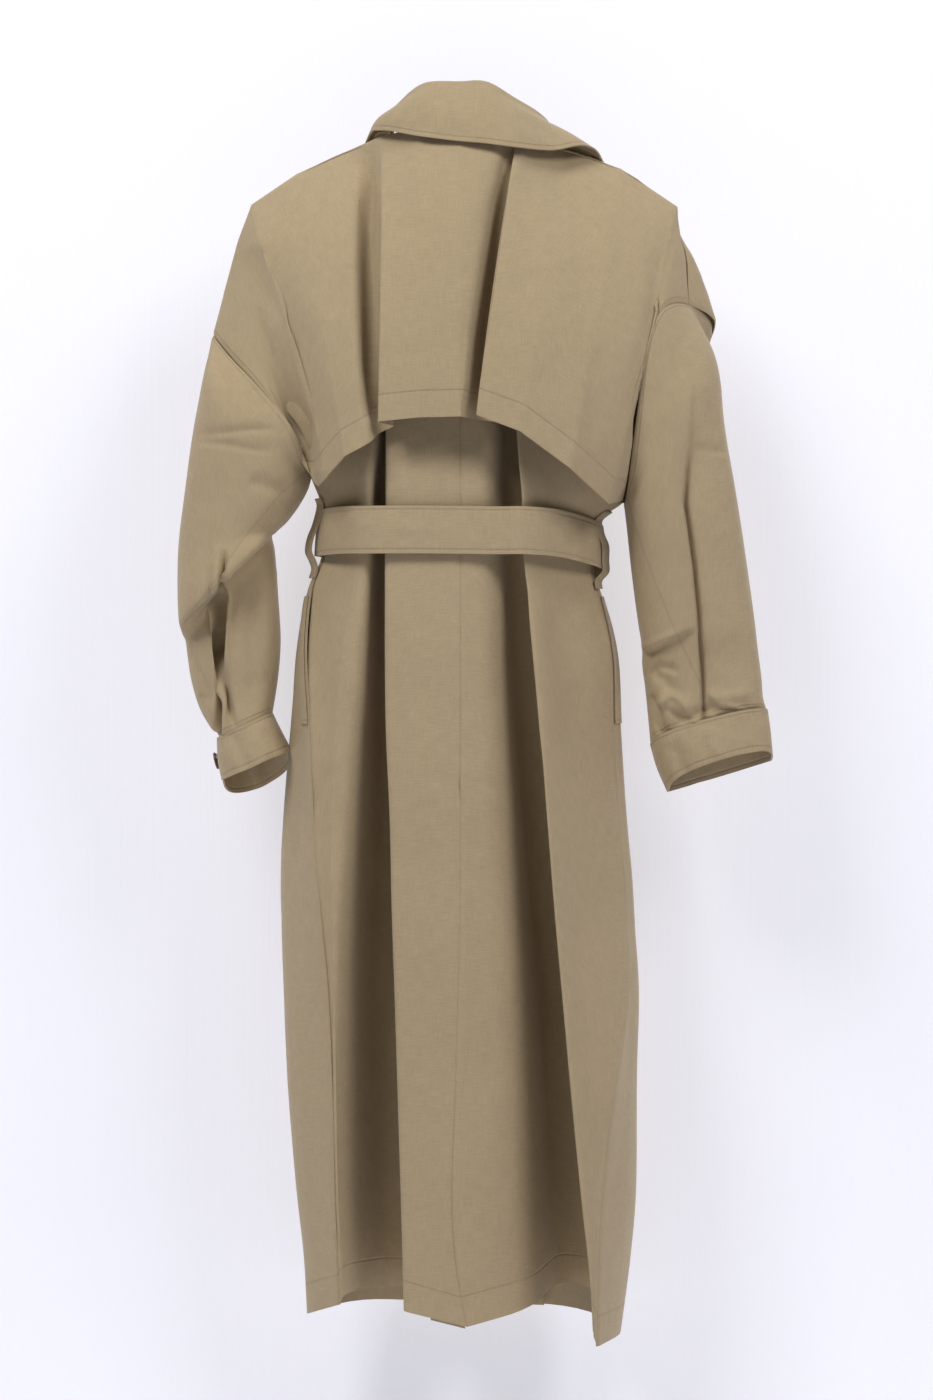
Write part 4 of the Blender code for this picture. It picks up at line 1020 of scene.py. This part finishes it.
SLEEVE_MARKS = dict(left=marks("""
 side  kind height before after  points
 back fold -3 1.6 6  -262,315 -235,314 -210,311 -180,310
 back fold -2.6 1.8 6  -262,322 -230,326 -208,330 -184,333
 back fold -3.5 7 10  -208,360 -188,368 -166,374
 back fold 2 14 18  -250,236 -238,300 -246,380
 back step -8 1.1 30  -110,330 -184,417 -212,446 -233,469 -251,487 -271,514 -320,590
 back fold 2.6 8 4  -150,366 -181,408 -208,436 -232,460 -254,484 -280,520
 back fold -22 3.2 2.6  -233,430 -236,500 -238,560 -240,660
 back fold 3 9 2.4  -228,440 -231,520 -234,640
 back fold -3 4 7  -270,521 -262,548 -248,576 -243,583
 back fold -2.2 2 4  -259,576 -248,583
 back fold -2 8 10  -214,470 -206,520 -204,590
 back fold 2 8 10  -196,450 -190,500 -194,560
 front fold -5 5 12  -196,400 -230,440 -262,466
 front fold 4 6 10  -190,440 -222,470 -256,500
 front fold -5 8 10  -236,500 -232,560 -226,610
 front fold -3 12 16  -210,300 -226,360 -232,420
"""), right=marks("""
 side  kind height before after  points
 back step -8 0.9 30  238,267 233,312 229,350 227,383 230,400 236,445 240,490 244,560 246,620
 back fold -6 1.6 3.2  232,330 228,383 231,400 237,445 241,490 245,560 248,640
 back fold 2 14 10  226,250 217,320 212,390 220,460
 back fold -2.4 2 6  238,328 254,331 272,333
 back step -10 1.1 16  240,508 221,517 204,525 186,532 140,552
 back fold 2.6 7 3  160,536 186,526 204,519 222,511
 back fold -4 5 8  190,552 206,560 222,582
 back fold 2.6 4 6  196,580 216,590 236,585
 back fold -7 3 7  192,574 200,604 218,630
 back fold 4.5 2.4 5  196,590 214,575 226,583 238,606
 back fold -5 2.4 6  206,586 226,600 246,592 262,590
 back fold -3.4 2.2 5  254,594 280,598 312,588
 back fold 2.6 2 4  252,574 262,584 290,590
 back fold -3.6 2.4 6  188,556 200,548 222,552
 back fold -2.6 4 7  248,584 270,590 296,586
 back fold 2.2 4 6  246,574 268,578 300,572
 back fold 2 10 14  262,230 268,300 274,380 284,460
 back fold -2.4 10 14  262,420 272,500 284,570
 back fold -2 10 14  200,250 196,330 188,410
 front fold -5 5 12  200,470 236,500 276,508
 front fold 4 6 10  204,508 240,530 284,540
 front fold -4 8 10  252,520 256,570 260,620
 front fold -3 12 16  244,280 248,360 252,440
"""))
# Each sleeve's seam line, seen from behind, along which a thin line of painted shade is drawn.
SLEEVE_SEAMS = dict(
    left=[(-150, 351), (-175, 372), (-217, 423), (-251, 473), (-272, 501)],
    right=[(170, 375), (177, 403), (190, 440), (200, 467), (221, 517), (243, 563)])
SLEEVE_CLOTH = gabardine("Khaki sleeve", [("top", 0.005), ("hem", 0.004)],
                         shaded_seams=("top", "hem", "line"))
CUFF_CLOTH = gabardine("Khaki cuff", [("hem", 0.005), ("top", 0.004)], shaded_seams=("top", "hem"))
CUFF_MARKS = dict(left=marks("""
 side  kind height before after  points
 back fold -3.4 6 9  -226,612 -214,640 -208,654
 back fold 2.6 7 9  -202,604 -196,626 -188,640
 front fold -3 7 9  -222,622 -214,650 -204,672
"""), right=marks("""
 side  kind height before after  points
 back fold -3 7 9  214,622 224,646 236,664
 back fold 2.6 7 9  250,606 258,626 266,640
 back fold -2.2 7 10  286,596 290,616 296,636
 front fold 2.6 7 9  240,620 248,650 252,676
"""))
SLEEVES = dict(left=(SLEEVE_LEFT, ARMHOLE_LEFT, CUFF_LEFT),
               right=(SLEEVE_RIGHT, ARMHOLE_RIGHT, CUFF_RIGHT))
for side, (rows, loop, cuff_rows) in SLEEVES.items():
    turned = side == "left"
    place, depth, first = GROOVES[side]
    angle, arm = around(place)
    rings = [armhole(loop, arm)] + [ring(row, angle) for row in rows + cuff_rows[:1]]
    grid, places = through(rings, RINGS)
    number = np.interp(np.linspace(0, 1, RINGS), places, np.arange(len(rings)))
    across = (1 - np.cos(angle)) / 2
    shape = np.exp(-((across - place) / GROOVE_WIDTH) ** 2) * (angle < math.pi)
    grown = np.clip((number - first) / 2, 0, 1) * np.clip(len(rings) - 1 - number, 0, 1)
    grid[:, :, 1] += depth * grown[:, None] * shape
    grid = creased(grid, SLEEVE_MARKS[side], closed=True, turned=turned)
    grid = tucked(grid, ("top",), closed=True, turned=turned)
    worn(f"sleeve_{side}", grid, SLEEVE_CLOTH, closed=True, turned=turned,
         seam=SLEEVE_SEAMS[side])
    band = np.array([ring(row, angle) for row in cuff_rows])
    band = smooth(np.arange(3), band, np.linspace(0, 2, CUFF_RINGS))
    band = band + outward(band, True, turned) * CUFF_OUT
    band = creased(band, CUFF_MARKS[side], closed=True, turned=turned)
    worn(f"cuff_{side}", band, CUFF_CLOTH, wall=1.8, closed=True, turned=turned)


# --- The collar ---------------------------------------------------------------------------
# A wide stiffened fall on a narrow stand, turned down round the neck and stitched close to its
# edge all round.

COLLAR = table("""
 place   fold_x fold_y fold_z edge_x edge_y edge_z foot_x foot_y foot_z
 end_l      -60    106   -106   -104    104   -158    -62     99   -114
 low_l      -68     88    -62   -118     90   -112    -74     82    -76
 front_l    -72     63    -24   -114     66    -62    -81     60    -36
 side_l     -68     36     14    -92     38     -6    -85     37     -5
 turn_l     -57     13     27    -78      8     -3    -70     15     -3
 back_l     -33     -1     43    -40    -17    -13    -38     -1      0
 back         3     -5     44     -4    -22  -18.5      3     -6    0.5
 back_r      30     -3     44     31    -23    -22     42     -2     -1
 turn_r      58      8     30     61    -19    -25     74     15     -5
 side_r      82     27     19     96      2    -24     92     37     -8
 front_r     93     46      9    130     24    -15     92     58    -34
 tip_r       94     62    -12    148     45    -24     90     72    -58
 low_r       88     80    -50    156     70    -62     86     86    -84
 end_r       72    110   -112    116    110   -168   71.5    103   -118
""")
ROLL, ROLL_DEEP, FALL_BOW, BOW_SHARE = 4.6, 1.2, 5.0, 0.7
STAND_OUT, STAND_BELOW = 0.8, 3.4
ROLL_SHAPE = ((-1, -ROLL_DEEP), (-1, -0.9), (-0.7, -0.28), (0, 0), (0.7, -0.28), (1, -0.9))


def plan_outward(line):
    """The level direction out of the neck at each point of a line round it."""
    along = np.gradient(line, axis=0)
    out = np.column_stack([along[:, 1], -along[:, 0], np.zeros(len(line))])
    return out / np.linalg.norm(out, axis=1, keepdims=True)


every = np.arange(len(COLLAR))
spots = np.linspace(0, len(COLLAR) - 1, 150)
fold, edge, foot = [smooth(every, column(COLLAR, part + "_x", part + "_y", part + "_z"), spots)
                    for part in ("fold", "edge", "foot")]
out = plan_outward(fold)
up = np.cross(out, np.gradient(fold, axis=0))
up /= np.linalg.norm(up, axis=1, keepdims=True)
up *= np.where(up[:, 2:] < 0, -1, 1)
rows = [fold + out * ROLL * o + up * ROLL * u for o, u in ROLL_SHAPE]
start = rows[-1]
for share in (0.25, 0.5, 0.75, 1.0):
    bow = FALL_BOW * 4 * share * (1 - share)
    rows.append(start + (edge - start) * share + (out + up) * bow * BOW_SHARE)
fall_grid = through(rows, 44)[0]
FALL_MARKS = marks("""
 side  kind height before after  points
 back fold -1.2 8 10  -62,2 -40,8 -10,12 20,14
 back fold -1.4 6 8  60,-4 84,10 110,24
 front fold -1.6 8 10  -90,60 -96,100 -90,140
 front fold -1.6 8 10  110,30 118,80 110,140
""")
COLLAR_CLOTH = gabardine("Khaki collar", [("hem", 0.004), ("first", 0.004), ("last", 0.004)],
                         shaded_seams=("hem",))
worn("collar_fall", creased(fall_grid, FALL_MARKS), COLLAR_CLOTH, wall=1.8)
top = fold + out * STAND_OUT - up * STAND_BELOW
knee = fold + out * STAND_OUT - up * ROLL * ROLL_DEEP
worn("collar_stand", through([top, knee, foot], 12)[0], COLLAR_CLOTH)


# --- The belt and its loops ---------------------------------------------------------------
# A stiffened belt of the same cotton, stitched along both edges, drawn round the waist and
# buckled in front. It passes through a narrow loop at each side seam.

BELT = table("""
 place         x   y      z lean
 inner_end    34 122   -422    0
 front_l     -34 122   -419    0
 front_e     -88 120   -416    0
 corner_l   -116 104   -412    1
 out_l      -141  76   -408    2
 side_l     -142  38   -409  2.4
 turn_l     -118 -10   -409    1
 fold_l      -90 -37   -410    0
 back_l      -40 -41   -410    0
 back          3 -42 -410.5    0
 back_r       40 -43   -411    0
 crisp_r      70 -43   -411    0
 turn_r      106 -16   -413    1
 side_r    147.2  36   -422    2
 out_r       148  74   -430    2
 corner_r    110 116   -430    1
 front_r      40 126   -426    0
 outer_end   -62 126   -423    0
""")
BELT_MARKS = marks("""
 side  kind height before after  points
 back fold 0.8 5 8  -110,402 -60,408 0,411
 back fold -1.6 5 7  96,398 112,412 118,428
 back fold -1.2 5 8  -128,396 -116,412 -104,424
 front fold -1.2 6 8  -96,404 -80,420 -70,436
 front fold -1.2 6 8  60,412 84,430 100,444
""")
every = np.arange(len(BELT))
spots = np.linspace(0, len(BELT) - 1, 330)
line = smooth(every, column(BELT, "x", "y", "z"), spots)
lean = smooth(every, column(BELT, "lean"), spots)
out = plan_outward(line)
HALF_BELT, BELT_SWELL = 23.8, 0.9
belt = np.array([line + np.array([0, 0, 1.0]) * HALF_BELT * h
                 - out * (lean * h - BELT_SWELL * (1 - h * h)) for h in np.linspace(1, -1, 15)])
BELT_CLOTH = gabardine("Khaki belt", [("top", 0.004), ("hem", 0.004), ("last", 0.005)], shaded_seams=())
worn("belt", creased(belt, BELT_MARKS), BELT_CLOTH, wall=2.0)

BELT_LOOPS = table("""
 side  stand    z
 left    0.6 -374
 left    1.5 -382
 left    9.5 -400
 left   14.5 -414
 left   13.5 -428
 left    6.5 -438
 left    1.5 -446
 left    0.6 -455
 right   0.6 -388
 right   3.0 -397
 right  11.0 -410
 right  13.5 -422
 right  13.5 -437
 right  12.5 -449
 right   3.0 -458
 right   0.6 -466
""")
LOOP_CLOTH = gabardine("Khaki loop", [("first", 0.002), ("last", 0.002)], shaded_seams=())
# A loop stands off the side seam; it is this wide and leans out this much across its width.
LOOP_ROWS, LOOP_CLEAR, LOOP_Y, LOOP_HALF, LOOP_LEAN, LOOP_IN = 48, 3.6, 37, 7, 3.2, 1.5
for side, way in (("left", -1), ("right", 1)):
    seam = side_seam(side)[::-1]
    rows = [row for row in BELT_LOOPS if row["side"] == side]
    z = column(rows, "z")[:, 0]
    x = np.interp(z, seam[:, 2], seam[:, 0]) + way * (column(rows, "stand")[:, 0] + LOOP_CLEAR)
    x, z = smooth(np.arange(len(z)), np.stack([x, z], 1), np.linspace(0, len(z) - 1, LOOP_ROWS)).T
    strip = [np.column_stack([x + way * (LOOP_LEAN * t - LOOP_IN),
                              np.full(LOOP_ROWS, LOOP_Y + LOOP_HALF * t), z])
             for t in np.linspace(-1, 1, 7)]
    worn(f"belt_loop_{side}", np.stack(strip, axis=1), LOOP_CLOTH, wall=1.8,
         turned=side == "left")


# --- The buckle and buttons ---------------------------------------------------------------
# A plain oblong frame and ten round buttons of brown mottled horn: eight in two rows down the
# front and one on each cuff, each with a raised rim, its thread and four holes of painted shade.


def two_tone(value, colours, places=(0, 1)):
    """The first colour up to the first place, the second from the second, and a blend between."""
    ramp = value.socket.id_data.nodes.new("ShaderNodeValToRGB")
    for stop, place, colour in zip(ramp.color_ramp.elements, places, colours):
        stop.position = place
        stop.color = (*colour, 1)
    value.into(ramp.inputs[0])
    return ramp.outputs[0]


def horn(name, colours):
    """Horn, mottled in two colours, polished but a little scratched."""
    made, shader, where = material(name)
    cloud = two_tone(mottle(where, 70.0, 4.0), colours, (0.38, 0.66))
    made.node_tree.links.new(cloud, shader.inputs["Base Color"])
    scratch = mottle(where, 900.0, 2.0, (1, 1, 0.15))
    (scratch * 0.22 + 0.18).into(shader.inputs["Roughness"])
    bumped(shader, scratch, 0.25, 0.0002)
    given(shader, {"Coat Weight": 0.2})
    return made


def thread(name):
    """Waxed sewing thread."""
    made, shader, where = material(name)
    twist = two_tone(mottle(where, 2400.0, 2.0), ((0.20, 0.145, 0.085), (0.42, 0.32, 0.20)))
    made.node_tree.links.new(twist, shader.inputs["Base Color"])
    given(shader, {"Roughness": 0.8})
    return made


HORN = horn("Brown horn", ((0.018, 0.009, 0.005), (0.20, 0.085, 0.03)))
# Near-black discs set in the buttons' holes as painted shade; both stops are the same near-black.
HOLE_SHADE = horn("Hole shade", ((0.006, 0.004, 0.003), (0.006, 0.004, 0.003)))
THREAD = thread("Sewing thread")


def joined(name, pieces, node):
    """The pieces made one, finished and standing for its solid."""
    alone(pieces[0])
    for piece in pieces:
        piece.select_set(True)
    bpy.ops.object.join()
    bpy.ops.object.shade_smooth_by_angle(angle=math.radians(40))
    pieces[0].name = name
    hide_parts(node)
    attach(pieces[0], "root")


def set_in_place(centre, away, added, material):
    """The piece just added, moved with its own +Z along `away`, its place kept in its mesh."""
    turn = mathutils.Vector(away).to_track_quat("Z", "Y").to_matrix().to_4x4()
    moved = mathutils.Matrix.Translation(mathutils.Vector(centre)) @ turn
    added.data.transform(moved @ added.matrix_world)
    added.matrix_world = mathutils.Matrix.Identity(4)
    added.data.materials.clear()
    added.data.materials.append(material)
    return added


# A button's parts as shares of its radius; their depths are shares of half its thickness.
DISC, RIM, BEAD, HOLES_OUT, HOLE_SIZE = 0.86, 0.84, 0.15, 0.24, 0.085
STRAND, STITCH_LONG = 0.05, 0.52


def sewn_button(node):
    """A round button with a raised rim, its crossed thread, and four near-black discs of painted
    shade as holes.
    """
    solid = frame["nodes"][node]
    points = np.array([solid.matrix_world @ v.co for v in solid.data.vertices])
    centre = points.mean(axis=0)
    away = np.linalg.svd(points - centre)[2][2]
    away *= np.sign(away @ (centre - np.array([0.01, 0.045, centre[2]]))) or 1
    radius = np.linalg.norm(np.cross(points - centre, away), axis=1).max()
    half = np.abs((points - centre) @ away).max()
    pieces = []

    def add(make, material, at=(0, 0, 0), **sizes):
        bpy.ops.object.select_all(action="DESELECT")
        make(location=at, **sizes)
        pieces.append(set_in_place(centre, away, bpy.context.active_object, material))

    cylinder, torus = bpy.ops.mesh.primitive_cylinder_add, bpy.ops.mesh.primitive_torus_add
    add(cylinder, HORN, (0, 0, -half * 0.15), vertices=48, radius=radius * DISC, depth=half * 1.3)
    add(torus, HORN, (0, 0, half * 0.35), major_radius=radius * RIM, minor_radius=radius * BEAD,
        major_segments=56, minor_segments=14)
    turns = [math.pi * (0.25 + 0.5 * k) for k in range(4)]
    # The four holes are near-black discs of painted shade.
    for turn in turns:
        spot = (radius * HOLES_OUT * math.cos(turn), radius * HOLES_OUT * math.sin(turn))
        add(cylinder, HOLE_SHADE, (*spot, half * 0.36), vertices=16, radius=radius * HOLE_SIZE,
            depth=half * 0.34)
    for k, turn in enumerate(turns[:2]):
        add(cylinder, THREAD, (0, 0, half * (0.6 + 0.08 * k)), vertices=10,
            radius=radius * STRAND, depth=radius * STITCH_LONG, rotation=(math.pi / 2, 0, turn))
    joined(node + "_sewn", pieces, node)


for node in sorted(frame["nodes"]):
    if "button" in node:
        sewn_button(node)
    elif "buckle" in node:
        mesh = frame["nodes"][node].data
        mesh.materials.clear()
        mesh.materials.append(HORN)


# --- The studio ---------------------------------------------------------------------------
# A pale wall close to the coat's front that sweeps into a pale floor, and broad soft light on
# its back from above, stronger from the left. The wall casts no shadow and is clear from
# beyond, so that a lamp there lights the front.


def plain(name, colour, streaks):
    """Matt paint that glows a little, with faint upright streaks, and is clear from behind."""
    made, shader, where = material(name)
    tree = made.node_tree
    given(shader, {"Base Color": (*colour, 1), "Roughness": 0.9, "Specular IOR Level": 0.1,
                   "Emission Color": (0.935, 0.935, 0.985, 1), "Emission Strength": 0.50})
    bumped(shader, mottle(where, 1.0, 3.0, (260, 260, 5)), streaks, 0.001)
    clear = tree.nodes.new("ShaderNodeBsdfTransparent")
    mix = tree.nodes.new("ShaderNodeMixShader")
    tree.links.new(tree.nodes.new("ShaderNodeNewGeometry").outputs["Backfacing"], mix.inputs[0])
    tree.links.new(shader.outputs[0], mix.inputs[1])
    tree.links.new(clear.outputs[0], mix.inputs[2])
    tree.links.new(mix.outputs[0], tree.nodes["Material Output"].inputs["Surface"])
    return made


WALL_Y, FLOOR_Z, SWEEP, BENDS, HALF_WALL = 0.205, -1.62, 0.5, 8, 5.0
profile = [(-6.0, FLOOR_Z), (WALL_Y - SWEEP, FLOOR_Z)]
for turn in [math.pi / 2 * step / BENDS for step in range(1, BENDS + 1)]:
    profile.append((WALL_Y - SWEEP + SWEEP * math.sin(turn),
                    FLOOR_Z + SWEEP - SWEEP * math.cos(turn)))
profile.append((WALL_Y, 2.4))
points = [(x, y, z) for y, z in profile for x in (-HALF_WALL, HALF_WALL)]
faces = [(i, i + 1, i + 3, i + 2) for i in range(0, len(points) - 2, 2)]
mesh = bpy.data.meshes.new("backdrop")
mesh.from_pydata(points, [], faces)
mesh.materials.append(plain("Pale wall", (0.52, 0.52, 0.57), 0.45))
mesh.shade_smooth()
backdrop = bpy.data.objects.new("backdrop", mesh)
bpy.context.scene.collection.objects.link(backdrop)
backdrop.visible_shadow = False

world = bpy.data.worlds.new("Studio")
bpy.context.scene.world = world
world.use_nodes = True
world.node_tree.nodes["Background"].inputs[0].default_value = (0.93, 0.94, 1.0, 1)
world.node_tree.nodes["Background"].inputs[1].default_value = 0.12


def lamp(name, place, target, size, power):
    """A soft square light that faces its target."""
    data = bpy.data.lights.new(name, "AREA")
    data.shape = "RECTANGLE"
    data.size = data.size_y = size
    data.energy = power
    made = bpy.data.objects.new(name, data)
    bpy.context.scene.collection.objects.link(made)
    made.location = place
    way = mathutils.Vector(np.array(target) - np.array(place))
    made.rotation_euler = way.to_track_quat("-Z", "Y").to_euler()


lamp("Key", (-1.5, -1.9, 2.2), (0, 0, -0.3), 1.3, 78)
lamp("Fill", (2.0, -2.0, 1.8), (0, 0, -0.3), 1.3, 54)
lamp("Rear", (1.4, 3.0, 0.8), (0, 0, -0.6), 2.0, 30)

SEEN_HEIGHT = 1400
camera = bpy.data.cameras.new("Camera")
camera.sensor_width = 36
camera.lens = camera.sensor_width * EYE_AWAY / SEEN_HEIGHT
eye = bpy.data.objects.new("Camera", camera)
bpy.context.scene.collection.objects.link(eye)
eye.location = (EYE_X * MM, (BACK_Y - EYE_AWAY) * MM, EYE_Z * MM)
eye.rotation_euler = (math.pi / 2, 0, 0)
bpy.context.scene.camera = eye
bpy.context.scene.view_settings.view_transform = "Standard"
